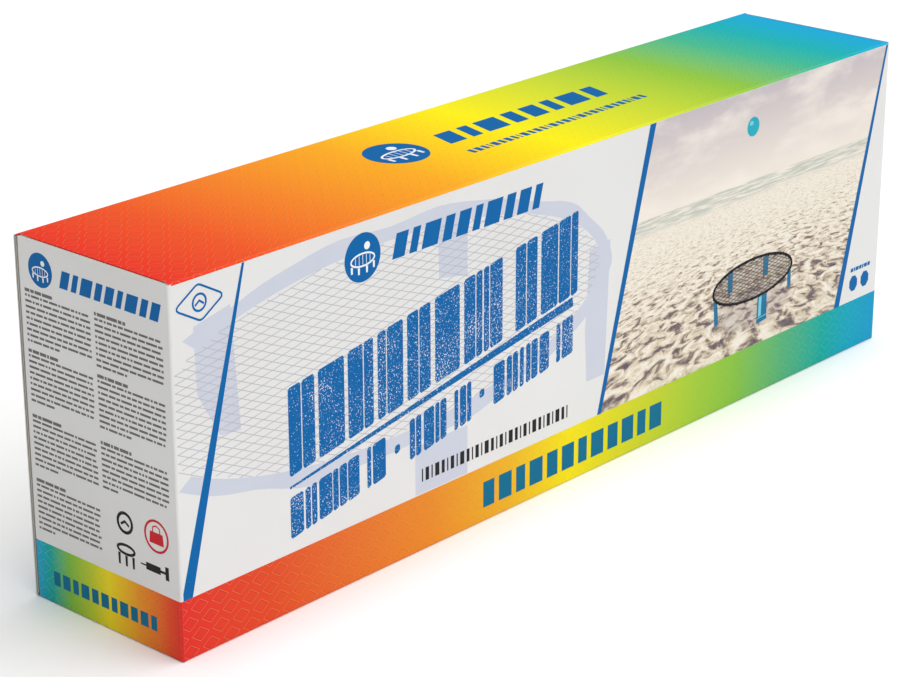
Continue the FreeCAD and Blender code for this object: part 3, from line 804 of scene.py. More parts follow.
# %% Inks
def ink_print(name, code, second, worn=0.0):
    """Offset ink: nearly one colour, a little uneven, and where it is worn the board shows in specks."""
    material, tree, shader, place = varnished(name)
    cloud = add(tree, "TexNoise", {"Vector": place, "Scale": 0.05, "Detail": 3.0})
    ink = add(tree, "Mix", [cloud, colour(code), colour(second)], data_type="RGBA")
    if worn:
        grit = add(tree, "TexNoise", {"Vector": place, "Scale": 1 / 0.95, "Detail": 2.0, "Roughness": 0.6})
        patches = add(tree, "TexNoise", {"Vector": place, "Scale": 0.045, "Detail": 1.0})
        wear = add(tree, "Math", [patches, 0.22, grit], operation="MULTIPLY_ADD")
        bare = add(tree, "MapRange", {"Value": wear, "From Min": 0.76 - worn, "From Max": 0.79 - worn})
        ink = add(tree, "Mix", [bare, ink.outputs[2], colour("#DDE3EA")], data_type="RGBA")
    tree.links.new(ink.outputs[2], shader.inputs["Base Color"])
    return material


blue_ink = ink_print("blue_offset_ink", "#0061A4", "#0067AA")
worn_blue_ink = ink_print("worn_blue_offset_ink", "#0061A4", "#0066A8", worn=0.03)
haze_ink = ink_print("pale_blue_offset_tint", "#D0D4DF", "#C8CDDB")
net_ink = ink_print("grey_offset_tint", "#BFBDC2", "#B5B4BB")
band_ink = ink_print("blue_ink_over_yellow", "#006A92", "#046E8E")
black_ink = ink_print("black_offset_ink", "#1E1D1F", "#2A292A")
text_ink = ink_print("grey_black_offset_ink", "#6A6765", "#767371")
white_ink = ink_print("white_offset_ink", "#F4F6F8", "#EDF1F5")
teal_ink = ink_print("teal_offset_ink", "#129FB4", "#35B9C8")
red_ink = ink_print("red_offset_ink", "#C9202B", "#D22A30")
leg_ink = ink_print("blue_grey_offset_ink", "#1D6890", "#2F81A8")
mesh_ink = ink_print("dark_grey_offset_ink", "#4C4644", "#5A5350")
rim_ink = ink_print("brown_black_offset_ink", "#221D1F", "#2F282B")

# %% [markdown]
# ## The printed picture
# The picture is a beach under a hazy sky: sky with soft clouds, a strip of sea with lines of foam, and
# trodden sand whose blue-violet shadows grow towards the viewer. It has no crisp shapes of its own, so it
# is the place for noise. Dividing the noise's coordinates by the distance below the horizon is what
# perspective does, and makes the same footprints small far away and large near by. The game's ring, its
# net, its legs and the ball stand on the sand as printed shapes.

# %% Beach print
horizon = 57.0             # mm down the face
sea_depth = 9.5
picture_ring = (464.6, 120.0, 39.6, 12.7)       # centre across and down, half width, half height
SAND_TONES = [                                  # from the sunlit ridges down into the footprints
    (0.39, "#F7F0E3"), (0.46, "#EADFCC"), (0.525, "#D5C6AF"), (0.57, "#9C8C82"), (0.62, "#685B63"),
    (0.72, "#4C4158"),
]


def beach_print(name, left_edge, direction):
    """The picture. left_edge is the x of the face's left edge in mm, direction 1 or -1 the way it runs."""
    material, tree, shader, place = varnished(name)
    axes = add(tree, "SeparateXYZ", [place])
    across = add(tree, "Math", [axes.outputs["X"], left_edge], operation="SUBTRACT")
    across = add(tree, "Math", [across, direction], operation="MULTIPLY")
    down = add(tree, "Math", [height, axes.outputs["Z"]], operation="SUBTRACT")
    below = add(tree, "Math", [down, horizon], operation="SUBTRACT")

    far = add(tree, "MapRange", {"Value": down, "From Min": 0.0, "From Max": horizon})
    sky = add(tree, "ValToRGB", [far])
    stops = sky.color_ramp.elements
    stops.new(0.5)
    for stop, (where, code) in zip(stops, ((0.0, "#C3BBC0"), (0.5, "#DCD2CE"), (1.0, "#EFE6DB"))):
        stop.position = where
        stop.color = colour(code)
    cloud_down = add(tree, "Math", [down, 2.6], operation="MULTIPLY")
    cloud_place = add(tree, "CombineXYZ", {"X": across, "Y": cloud_down})
    clouds = add(tree, "TexNoise", {"Vector": cloud_place, "Scale": 0.016, "Detail": 5.0, "Roughness": 0.55})
    puffs = add(tree, "MapRange", {"Value": clouds, "From Min": 0.47, "From Max": 0.66})
    puffs = add(tree, "Math", [puffs, 0.75], operation="MULTIPLY")
    sky = add(tree, "Mix", [puffs, sky, colour("#F4ECE2")], data_type="RGBA")

    foam_down = add(tree, "Math", [down, 15.0], operation="MULTIPLY")
    foam_place = add(tree, "CombineXYZ", {"X": across, "Y": foam_down})
    foam = add(tree, "TexNoise", {"Vector": foam_place, "Scale": 0.05, "Detail": 4.0, "Roughness": 0.6})
    crests = add(tree, "MapRange", {"Value": foam, "From Min": 0.42, "From Max": 0.62})
    sea = add(tree, "Mix", [crests, colour("#C6C6BC"), colour("#EFEADD")], data_type="RGBA")

    nearness = add(tree, "Math", [below, 6.0], operation="ADD")
    nearness = add(tree, "Math", [nearness, 4.0], operation="MAXIMUM")
    depth_line = add(tree, "Math", [15000.0, nearness], operation="DIVIDE")
    sideways = add(tree, "Math", [across, 430.0], operation="SUBTRACT")
    sideways = add(tree, "Math", [sideways, nearness], operation="DIVIDE")
    sideways = add(tree, "Math", [sideways, 68.0], operation="MULTIPLY")
    sand_place = add(tree, "CombineXYZ", {"X": sideways, "Y": depth_line})
    steps = add(tree, "TexNoise", {"Vector": sand_place, "Scale": 0.105, "Detail": 4.5, "Roughness": 0.58,
                                   "Distortion": 0.7})
    shift = add(tree, "MapRange", {"Value": below, "From Min": 8.0, "From Max": 80.0,
                                   "To Min": 0.13, "To Max": -0.01}, interpolation_type="SMOOTHSTEP")
    trodden = add(tree, "Math", [steps, shift], operation="SUBTRACT")
    tones = add(tree, "ValToRGB", [trodden])
    stops = tones.color_ramp.elements
    while len(stops) < len(SAND_TONES):
        stops.new(0.5)
    for stop, (where, code) in zip(stops, SAND_TONES):
        stop.position = where
        stop.color = colour(code)
    grit = add(tree, "TexNoise", {"Vector": place, "Scale": 0.9, "Detail": 2.0})
    grit = add(tree, "MapRange", {"Value": grit, "From Min": 0.3, "From Max": 0.7, "To Min": 0.0,
                                  "To Max": 0.25})
    ground = add(tree, "Mix", [grit, tones, colour("#B7A695")], data_type="RGBA")

    centre_x, centre_y, half_wide, half_high = picture_ring
    ring_x = add(tree, "Math", [across, centre_x], operation="SUBTRACT")
    ring_x = add(tree, "Math", [ring_x, half_wide], operation="DIVIDE")
    ring_y = add(tree, "Math", [down, centre_y], operation="SUBTRACT")
    ring_y = add(tree, "Math", [ring_y, half_high], operation="DIVIDE")
    reach = add(tree, "VectorMath", [add(tree, "CombineXYZ", {"X": ring_x, "Y": ring_y})], operation="LENGTH")
    shade_y = add(tree, "Math", [ring_y, 1.5], operation="SUBTRACT")
    shade = add(tree, "CombineXYZ", {"X": ring_x, "Y": shade_y})
    shade = add(tree, "VectorMath", [shade], operation="LENGTH")
    shade = add(tree, "MapRange", {"Value": shade.outputs["Value"], "From Min": 1.15, "From Max": 0.8,
                                   "To Max": 0.3})
    ground = add(tree, "Mix", [shade, ground.outputs[2], colour("#74657A")], data_type="RGBA")
    within = add(tree, "Math", [reach.outputs["Value"], 0.97], operation="LESS_THAN")
    within = add(tree, "Math", [within, 0.35], operation="MULTIPLY")
    ground = add(tree, "Mix", [within, ground.outputs[2], colour("#6E635F")], data_type="RGBA")

    wet = add(tree, "MapRange", {"Value": below, "From Min": sea_depth - 2, "From Max": sea_depth + 2})
    lower = add(tree, "Mix", [wet, sea.outputs[2], ground.outputs[2]], data_type="RGBA")
    under = add(tree, "MapRange", {"Value": below, "From Min": -0.4, "From Max": 0.4})
    picture = add(tree, "Mix", [under, sky.outputs[2], lower.outputs[2]], data_type="RGBA")
    tree.links.new(picture.outputs[2], shader.inputs["Base Color"])
    return material


beach = {"front": beach_print("front_beach_print", -half_length, 1),
         "back": beach_print("back_beach_print", half_length, -1)}

# %% [markdown]
# ## The long faces
# The design is the same on the front and the back. From the left: an age mark, a slanted rule, a hazy
# drawing of the ring behind two lines of bold worn blocks, a small line, and the picture between two
# slanted rules. Names and lettering are left out. Blocks of the same weight and rhythm stand in for them,
# so the layout reads as it should.

# %% Hazy ring, its net and legs
fold_keep = 1.5            # mm that the prints stay clear of the folded edges
foot_line = height - band_height
random.seed(7)
MAIN = ("front", "back")
ring_middle = (150.0, 70.0)
ring_half = (172.0, 58.0)


haze = begin_drawing("hazy_ring")
rim_outer, rim_inner = [], []
for i in range(97):
    t = math.tau * i / 96
    swell = 5.2 + 1.4 * math.cos(10 * t) + 0.7 * math.sin(17 * t)
    for store, away in ((rim_outer, swell), (rim_inner, -4.0)):
        store.append((ring_middle[0] + (ring_half[0] + away) * math.cos(t),
                      ring_middle[1] + (ring_half[1] + away) * math.sin(t)))
for i in range(96):
    quad = (rim_outer[i], rim_outer[i + 1], rim_inner[i + 1], rim_inner[i])
    if min(p[0] for p in quad) > fold_keep:
        patch(quad)
end_drawing(haze, 0.8, MAIN, haze_ink)
legs = begin_drawing("hazy_legs")
for leg in (((15.0, 25.0), (39.0, 20.0), (43.5, 86.0), (30.0, 85.0), (16.0, 60.0)),
            ((185.0, 13.0), (208.0, 13.0), (208.0, 50.0), (186.0, 46.0)),
            ((167.0, 135.0), (208.0, 135.0), (208.0, 163.0), (167.0, 163.0)),
            ((309.0, 62.0), (327.0, 60.0), (324.0, 140.0), (308.0, 140.0), (306.0, 110.0))):
    patch(leg)
end_drawing(legs, 0.4, MAIN, haze_ink)

net_gap = 4.5
for name, slope, level in (("hazy_net_falling", 0.42, 1.2), ("hazy_net_rising", -0.22, 1.5)):
    net = begin_drawing(name)
    for n in range(-34, 52):
        offset = n * net_gap
        caught = []
        for k in range(121):
            x = fold_keep + 0.5 + k * 2.65
            y = offset + slope * (x - 150.0) + 3.0 * math.sin(x / 60.0)
            across_ring = (x - ring_middle[0]) / (ring_half[0] - 4)
            down_ring = (y - ring_middle[1]) / (ring_half[1] - 4)
            if across_ring ** 2 + down_ring ** 2 < 1:
                caught.append((x, y))
        if len(caught) > 3:
            stroke(caught[::4] + ([caught[-1]] if (len(caught) - 1) % 4 else []), 0.34)
    end_drawing(net, level, MAIN, net_ink)

# %% Worn blocks and their rule
title = begin_drawing("worn_blocks")
rise = math.tan(math.radians(9.7))


def leaning_block(x0, x1, top_at_left, tall, slits=()):
    """An upright block whose top and foot climb to the right, cut by full-height slits into bars."""
    edges = [x0, *[e for slit in slits for e in (slit - 0.4, slit + 0.4)], x1]
    for a, b in zip(edges[::2], edges[1::2]):
        cut = min(1.1, (b - a) / 4)
        top_a, top_b = top_at_left - (a - 75.4) * rise, top_at_left - (b - 75.4) * rise
        patch(((a, top_a + cut), (a + cut, top_a - cut * rise),
               (b - cut, top_b + cut * rise), (b, top_b + cut),
               (b, top_b + tall - cut), (b - cut, top_b + tall),
               (a + cut, top_a + tall), (a, top_a + tall - cut)))


title_bars = ((75.4, 93.8), (96.5, 115.0), (117.7, 136.2), (139.4, 158.3), (161.5, 179.2), (182.7, 201.9),
              (205.4, 219.8), (221.0, 236.0), (246.7, 264.4), (267.7, 281.7), (282.7, 298.7))
for i, (x0, x1) in enumerate(title_bars):
    middle = (x0 + x1) / 2
    slits = ((middle,), (), (middle + 2.0,), (middle - 2.9,))[i % 4]
    leaning_block(x0, x1, 74.5, 47.5, slits)
second_bars = ((75.4, 84.6), (86.0, 94.2), (95.8, 105.2), (105.8, 116.0), (116.7, 125.0), (130.8, 133.7),
               (135.0, 144.6), (162.9, 171.7), (173.7, 181.7), (182.7, 191.3), (197.7, 200.6), (202.0, 211.0),
               (229.0, 238.0), (239.8, 249.0), (250.6, 253.8), (255.8, 265.4), (267.0, 275.0), (281.3, 284.6),
               (286.0, 295.4))
for i, (x0, x1) in enumerate(second_bars):
    slits = ((x0 + x1) / 2 + (i % 3 - 1) * 0.8,) if x1 - x0 > 5 and i % 2 else ()
    leaning_block(x0, x1, 133.5, 22.5, slits)
for x0, x1 in ((151.5, 155.4), (217.7, 221.5)):
    leaning_block(x0, x1, 142.5, 4.6)
stroke([(75.4, 128.0), (295.0, 88.4)], (1.3, 5.4))
end_drawing(title, 2, MAIN, worn_blue_ink)

# %% Plain blue shapes: rules, age mark, disc, maker's bar, small icons, the word in the band
blue = begin_drawing("blue_print")
patch(((47.4, fold_keep), (49.0, fold_keep), (8.0, foot_line), (2.0, foot_line), (2.0, foot_line - 4.0)))
patch(((360.8, fold_keep), (366.0, fold_keep), (321.6, foot_line), (318.2, foot_line)))
patch(((596.0, fold_keep), (597.9, fold_keep), (558.8, foot_line), (553.0, foot_line)))
age_mark = ((5.2, 14.4), (5.2, 13.2), (6.2, 12.2), (17.4, 5.2), (19.0, 4.8), (20.4, 5.2), (32.8, 12.2),
            (33.8, 13.2),
            (33.8, 14.4), (32.8, 15.4), (21.6, 22.4), (20.0, 22.8), (18.6, 22.4), (6.2, 15.4))
stroke(age_mark, 1.0, closed=True)
stroke(oval((19.5, 13.8), 4.2, 4.2, 24), 1.1, closed=True)
stroke([(16.7, 15.0), (19.5, 12.9), (22.3, 15.0)], 1.0)
disc = (129.6, 20.0)
patch(oval(disc, 12.9, 12.9, 64))


def ring_mark(centre, scale):
    """The game's ring seen from above and aside, on its legs, with a ball over it: drawn 20 mm wide."""
    x, y = centre
    stroke(oval((x, y + 1.2 * scale), 8.4 * scale, 3.3 * scale, 40), 0.95 * scale, closed=True)
    for shift in (-5.2, -2.6, 0.0, 2.6, 5.2):
        deep = 3.3 * math.sqrt(1 - (shift / 8.4) ** 2) - 0.75
        stroke([(x + shift * scale, y + (1.2 - deep) * scale), (x + shift * scale, y + (1.2 + deep) * scale)],
               0.35 * scale)
    for shift, top in ((-7.9, 3.5), (-2.9, 5.0), (2.9, 5.0), (7.9, 3.5)):
        patch([(x + (shift + a) * scale, y + b * scale)
               for a, b in ((-0.75, top), (0.75, top), (0.6, top + 3.6), (-0.6, top + 3.6))])
    patch(oval((x + 3.2 * scale, y - 5.6 * scale), 2.1 * scale, 2.1 * scale, 24))


def slanting_bars(x0, x1, foot, tall, widths, gap, slant):
    """A row of slanting bars in a repeated rhythm of widths, which stands in for a name."""
    x, i = x0, 0
    while x + widths[i % len(widths)] <= x1:
        wide = widths[i % len(widths)]
        patch(((x, foot), (x + wide, foot), (x + wide + slant, foot - tall), (x + slant, foot - tall)))
        x += wide + gap
        i += 1


slanting_bars(151.0, 266.0, 26.8, 13.2, (9.0, 5.6, 12.0, 7.0), 3.6, 3.5)
slanting_bars(570.0, 592.0, 144.0, 2.4, (2.6, 1.4, 3.2), 0.7, 0.3)
for x in (573.6, 586.2):
    patch(oval((x, 152.0), 4.6, 5.4, 8, 0.4))
end_drawing(blue, 2, MAIN, blue_ink)

band_word = begin_drawing("band_blocks")
slanting_bars(221.0, 385.0, 188.0, 15.0, (9.0, 10.5, 7.5, 11.0), 3.9, 0.0)
end_drawing(band_word, 2, MAIN, band_ink)

mark = begin_drawing("white_mark")
ring_mark((129.6, 20.0), 1.0)
end_drawing(mark, 3, MAIN, white_ink)

small = begin_drawing("small_line")
slanting_bars(172.0, 295.0, 156.4, 7.4, (0.9, 2.6, 0.9, 3.2, 2.2), 2.0, 0.0)
end_drawing(small, 2, MAIN, black_ink)

# %% Picture, and what stands on the sand
for face in MAIN:
    picture = begin_drawing("picture")
    patch(((366.0, fold_keep), (596.0, fold_keep), (553.0, foot_line), (321.6, foot_line)))
    end_drawing(picture, 1, (face,), beach[face])

centre_x, centre_y, half_wide, half_high = picture_ring
legs = begin_drawing("picture_legs")
patch(((438.8, 109.8), (444.0, 109.4), (443.8, 123.2), (439.2, 123.0)))
patch(((474.2, 108.8), (480.0, 109.2), (479.4, 121.2), (474.6, 121.0)))
patch(((425.6, 123.0), (429.2, 124.4), (430.8, 139.6), (427.0, 141.0)))
patch(((500.2, 123.0), (503.6, 121.4), (504.2, 134.4), (500.6, 135.6)))
patch(((470.2, 131.6), (479.4, 131.8), (480.0, 149.6), (469.8, 150.8)))
end_drawing(legs, 2, MAIN, leg_ink)

rim = begin_drawing("picture_rim")
stroke(oval((centre_x, centre_y), half_wide, half_high, 64), 1.7, closed=True)
for i in range(0, 64, 2):
    t = math.tau * i / 64
    x, y = centre_x + half_wide * math.cos(t), centre_y + half_high * math.sin(t)
    patch(oval((x, y + 0.6), 0.9, 0.75, 6))
end_drawing(rim, 3, MAIN, rim_ink)

mesh_gap = 2.3
for name, slope, level in (("picture_net_falling", 0.42, 2.3), ("picture_net_rising", -0.30, 2.6)):
    mesh_lines = begin_drawing(name)
    for n in range(-20, 21):
        ends = []
        for k in range(161):
            x = centre_x - 40.0 + k * 0.5
            y = centre_y + n * mesh_gap + slope * (x - centre_x)
            if ((x - centre_x) / (half_wide - 0.8)) ** 2 + ((y - centre_y) / (half_high - 0.8)) ** 2 < 1:
                ends.append((x, y))
        if len(ends) > 6:
            stroke([ends[0], ends[-1]], 0.34)
    end_drawing(mesh_lines, level, MAIN, mesh_ink)

ball = begin_drawing("picture_ball")
patch(oval((458.7, 24.0), 5.9, 5.9, 36))
end_drawing(ball, 2, MAIN, teal_ink)

light = begin_drawing("picture_lights")
patch(((471.4, 133.2), (474.2, 133.2), (474.0, 146.0), (471.2, 146.4)))
patch(oval((456.8, 21.6), 1.9, 1.5, 12))
stroke([(470.2, 147.4), (479.8, 146.6)], 0.5)
end_drawing(light, 3, MAIN, ink_print("light_teal_offset_ink", "#6FC6DC", "#8AD3E2"))

# %% [markdown]
# ## The ends and the top
# The ends carry a small disc and bar, two columns of fine print, four small pictograms and the band. The fine
# print is rows of short dashes of random length, drawn with a fixed seed. The top has only a disc, a bar and
# a thin line on the gradient.

# %% Ends
ENDS = ("left", "right")
end_blue = begin_drawing("blue_print")
disc = (19.0, 14.8)
patch(oval(disc, 8.9, 8.9, 64))
slanting_bars(33.0, 105.0, 20.4, 9.2, (6.0, 3.8, 8.0, 4.7), 2.5, 2.6)
end_drawing(end_blue, 2, ENDS, blue_ink)

end_word = begin_drawing("band_blocks")
slanting_bars(15.5, 100.0, 185.4, 7.8, (4.9, 5.6, 4.2, 6.0), 2.2, 0.0)
end_drawing(end_word, 2, ENDS, band_ink)

end_mark = begin_drawing("white_mark")
ring_mark(disc, 0.69)
end_drawing(end_mark, 3, ENDS, white_ink)

fine_print = begin_drawing("fine_print")
line_pitch = 2.98
paragraphs = ((6.2, 26.5, 10), (6.2, 58.5, 10), (6.2, 93.5, 10), (6.2, 128.5, 10),
              (58.0, 26.5, 10), (58.0, 58.5, 10), (58.0, 93.5, 9))
column_width = 48.5
for left, first_line, lines in paragraphs:
    for line in range(lines):
        y = first_line + line * line_pitch
        end_x = left + column_width
        if line == 0:
            end_x = left + 22.5
        if line == lines - 1:
            end_x = left + random.uniform(9, 34)
        x = left
        while x < end_x - 1.2:
            word = min(random.choice((1.4, 2.6, 3.6, 4.8, 6.2, 7.6)), end_x - x)
            tall = 1.7 if line == 0 else 1.2
            patch(((x, y), (x + word, y), (x + word, y + tall), (x, y + tall)))
            x += word + (0.7 if line == 0 else 0.85)
end_drawing(fine_print, 1, ENDS, text_ink)

icons = begin_drawing("pictograms")
stroke(oval((73.0, 133.0), 5.2, 5.2, 32), 1.7, closed=True)             # ball
stroke([(70.0, 134.2), (73.0, 132.2), (76.0, 134.2)], 1.3)
stroke(oval((73.0, 147.5), 6.2, 2.4, 32), 1.5, closed=True)             # ring on its legs
for x, top in ((67.8, 150.2), (73.0, 150.8), (78.2, 150.2)):
    patch(((x - 0.9, top), (x + 0.9, top), (x + 0.7, 156.5), (x - 0.7, 156.5)))
patch(((87.5, 149.2), (98.0, 149.2), (98.0, 153.2), (87.5, 153.2)))     # pump
patch(((98.0, 150.5), (101.5, 150.5), (101.5, 151.9), (98.0, 151.9)))
patch(((101.5, 147.6), (104.0, 147.6), (104.0, 154.8), (101.5, 154.8)))
patch(((83.6, 150.8), (87.5, 150.8), (87.5, 151.6), (83.6, 151.6)))
end_drawing(icons, 1, ENDS, black_ink)

red_icon = begin_drawing("red_pictogram")
stroke(oval((96.0, 133.2), 8.2, 8.2, 48), 1.3, closed=True)             # carry bag in a ring
patch(((91.4, 131.2), (100.6, 131.2), (101.2, 137.4), (90.8, 137.4)))
stroke([(93.4, 131.2), (93.6, 128.6), (96.0, 127.6), (98.4, 128.6), (98.6, 131.2)], 0.7)
end_drawing(red_icon, 1, ENDS, red_ink)

# %% Top
top_blue = begin_drawing("blue_print")
disc = (223.0, 47.0)
patch(oval(disc, 18.4, 18.4, 64))
slanting_bars(256.0, 403.0, 57.0, 18.0, (13.0, 8.0, 17.5, 10.0), 5.4, 5.0)
slanting_bars(252.0, 406.0, 77.6, 6.0, (2.8, 3.6, 2.4, 1.1, 4.0), 2.1, 0.0)
end_drawing(top_blue, 2, ("top",), blue_ink)

top_white = begin_drawing("white_mark")
ring_mark(disc, 1.42)
end_drawing(top_white, 3, ("top",), white_ink)

# %% [markdown]
# ## Plastics, rubber and metal
# The imported game is mostly moulded plastic. A moulded part isn't one flat colour: its skin has a fine eroded
# texture from the mould, and its tone drifts a little. The rim tubes are extruded, but they are given the same
# pitted skin, and the pump's rod is drawn steel. All of these parts have their true shape in the CAD model, so
# they keep it and only their material slots are given new materials.

# %% Materials of the hard parts
def moulded(name, code, second, roughness, texture, gloss=0.5, depth_mm=0.03):
    """A moulded skin: texture is the size in mm of the pits that the mould's eroded surface leaves."""
    material = bpy.data.materials.new(name)
    material.use_nodes = True
    tree = material.node_tree
    shader = tree.nodes["Principled BSDF"]
    shader.inputs["Roughness"].default_value = roughness
    shader.inputs["Specular IOR Level"].default_value = gloss
    point = add(tree, "TexCoord")
    place = add(tree, "VectorMath", [point.outputs["Object"]], operation="SCALE")
    place.inputs["Scale"].default_value = 1 / MM
    pits = add(tree, "TexNoise", {"Vector": place, "Scale": 1 / texture, "Detail": 3.0})
    drift = add(tree, "TexNoise", {"Vector": place, "Scale": 0.04, "Detail": 2.0})
    tone = add(tree, "Mix", [drift, colour(code), colour(second)], data_type="RGBA")
    shine = add(tree, "MapRange", {"Value": pits, "From Min": 0.3, "From Max": 0.7,
                                   "To Min": roughness - 0.06, "To Max": roughness + 0.06})
    bump = add(tree, "Bump", {"Strength": 0.35, "Distance": depth_mm * MM, "Height": pits})
    tree.links.new(tone.outputs[2], shader.inputs["Base Color"])
    tree.links.new(shine.outputs["Result"], shader.inputs["Roughness"])
    tree.links.new(bump.outputs["Normal"], shader.inputs["Normal"])
    return material, tree, shader, place


def metal(name, code, roughness, stretch):
    """Metal whose fine drawing lines run along X. stretch is how much longer than wide they are."""
    material = bpy.data.materials.new(name)
    material.use_nodes = True
    tree = material.node_tree
    shader = tree.nodes["Principled BSDF"]
    shader.inputs["Base Color"].default_value = colour(code)
    shader.inputs["Metallic"].default_value = 1.0
    point = add(tree, "TexCoord")
    place = add(tree, "Mapping", {"Vector": point.outputs["Object"],
                                  "Scale": (1 / MM / stretch, 1 / MM, 1 / MM)})
    lines = add(tree, "TexNoise", {"Vector": place, "Scale": 3.0, "Detail": 3.0})
    shine = add(tree, "MapRange", {"Value": lines, "From Min": 0.3, "From Max": 0.7,
                                   "To Min": roughness - 0.07, "To Max": roughness + 0.07})
    bump = add(tree, "Bump", {"Strength": 0.2, "Distance": 0.01 * MM, "Height": lines})
    tree.links.new(shine.outputs["Result"], shader.inputs["Roughness"])
    tree.links.new(bump.outputs["Normal"], shader.inputs["Normal"])
    return material


rim_plastic = moulded("extruded_black_polypropylene", "#1B1C1E", "#242528", 0.42, 0.7)[0]
leg_plastic = moulded("moulded_blue_abs", "#0F73A8", "#1580B6", 0.45, 0.5, depth_mm=0.05)[0]
foot_rubber = moulded("soft_black_tpe_rubber", "#191919", "#222122", 0.75, 0.8, 0.3)[0]
valve_rubber = moulded("black_butyl_rubber", "#121212", "#1B1B1B", 0.6, 0.5, 0.35)[0]
barrel_plastic = moulded("polished_blue_abs", "#0B5FA0", "#0F69AC", 0.16, 1.2, depth_mm=0.01)[0]
trim_plastic = moulded("spark_textured_black_abs", "#1D1D1F", "#252527", 0.55, 0.6, depth_mm=0.06)[0]
seal_rubber = moulded("greased_nitrile_rubber", "#101010", "#181716", 0.28, 0.9)[0]
drawn_steel = metal("drawn_bright_steel", "#C9CACC", 0.26, 12.0)
nickel = metal("nickel_plated_brass", "#D8D5CD", 0.15, 6.0)

SLOT_FINISH = {
    "rim": rim_plastic, "leg": leg_plastic, "foot": foot_rubber, "valve": valve_rubber,
    "pump_body": barrel_plastic, "pump_trim": trim_plastic, "pump_rod": drawn_steel,
    "needle": nickel, "seal": seal_rubber,
}
for node, cad_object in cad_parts.items():
    for slot in cad_object.material_slots:
        if slot.material and slot.material.name in SLOT_FINISH:
            slot.material = SLOT_FINISH[slot.material.name]
print("finishes for", ", ".join(SLOT_FINISH))

# %% [markdown]
# ## The balls
# A soft rubber ball is moulded in panels that meet in narrow grooves. The mesh starts as a cube, because a
# cube blown up to a sphere has even faces, no poles, and twelve edges in just the places where six panels
# meet. The edges are bevelled to two narrow strips, and the line between the strips is pushed in.

# %% Ball
ball_rubber = moulded("matt_teal_moulded_rubber", "#119AA4", "#1AA6AE", 0.62, 1.4, 0.35, 0.12)[0]
training_rubber = moulded("matt_yellow_moulded_rubber", "#F0BE22", "#F4C632", 0.62, 1.4, 0.35, 0.12)[0]
seam_half_width = 1.3
seam_depth = 0.7


def seamed_ball(name, node, turn_degrees, rubber):
    """A six-panel ball in a CAD ball's place, with a dimple round its valve."""
    low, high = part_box(node)
    centre = (low + high) / 2
    radius = min(high - low) / 2 / MM - 0.02
    bpy.ops.object.select_all(action="DESELECT")
    bpy.ops.mesh.primitive_cube_add(size=2 * radius)
    ball = bpy.context.object
    ball.name = name
    bpy.ops.object.mode_set(mode="EDIT")
    bpy.ops.mesh.select_all(action="SELECT")
    bpy.ops.mesh.subdivide(number_cuts=15)
    bpy.ops.transform.tosphere(value=1.0)
    shape = bmesh.from_edit_mesh(ball.data)
    size = next(iter(shape.verts)).co.length
    for vertex in shape.verts:
        vertex.co *= radius / size
    for edge in shape.edges:
        directions = [sorted(abs(c) for c in v.co) for v in edge.verts]
        edge.select = all(d[2] - d[1] < radius * 1e-4 for d in directions)
    bmesh.update_edit_mesh(ball.data)
    bpy.ops.mesh.bevel(offset=seam_half_width, segments=2)
    shape = bmesh.from_edit_mesh(ball.data)
    for vertex in shape.verts:
        vertex.co *= radius / vertex.co.length
        d = sorted(abs(c) for c in vertex.co)
        if d[2] - d[1] < radius * 0.004:
            vertex.co *= 1 - seam_depth / radius
    bmesh.update_edit_mesh(ball.data)
    turn = math.radians(turn_degrees)
    bpy.ops.transform.rotate(value=turn, orient_axis="X", center_override=(0, 0, 0))
    bpy.ops.transform.rotate(value=turn * 0.7, orient_axis="Y", center_override=(0, 0, 0))
    valve = Vector((0, -1, 1)).normalized()
    shape = bmesh.from_edit_mesh(ball.data)
    for vertex in shape.verts:
        off = (vertex.co - valve * radius).length
        if off < 9.0:
            vertex.co *= 1 - 1.1 / radius * (1 - (off / 9.0) ** 2) ** 2
    bmesh.update_edit_mesh(ball.data)
    bpy.ops.object.mode_set(mode="OBJECT")
    smooth = ball.modifiers.new("smooth", "SUBSURF")
    smooth.levels = 2
    smooth.render_levels = 2
    bpy.ops.object.modifier_apply(modifier="smooth")
    ball.matrix_world = Matrix.Translation(centre) @ Matrix.Scale(MM, 4)
    bpy.ops.object.transform_apply(location=True, rotation=True, scale=True)
    bpy.ops.object.shade_smooth()
    paint(ball, rubber)
    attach(ball, "root")
    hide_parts(node)
    print(name, "radius", round(radius, 1), "mm,", len(ball.data.polygons), "faces")
    return ball


seamed_ball("teal_ball_1", "playing_ball_1", 20, ball_rubber)
seamed_ball("teal_ball_2", "playing_ball_2", -35, ball_rubber)
seamed_ball("yellow_ball", "training_ball", 10, training_rubber)

# %% [markdown]
# ## Net, tie, bag and leaflet
# The net is folded into a strip and rolled up, the bag and the leaflet are folded to and fro. Each is one
# sheet that follows a line, so each starts as a finely divided strip. A strip keeps its own flat coordinates,
# its UV map, and the cords of the net and the threads of the cloth are drawn on those, so they follow every
# fold. The strip then gets a wall.

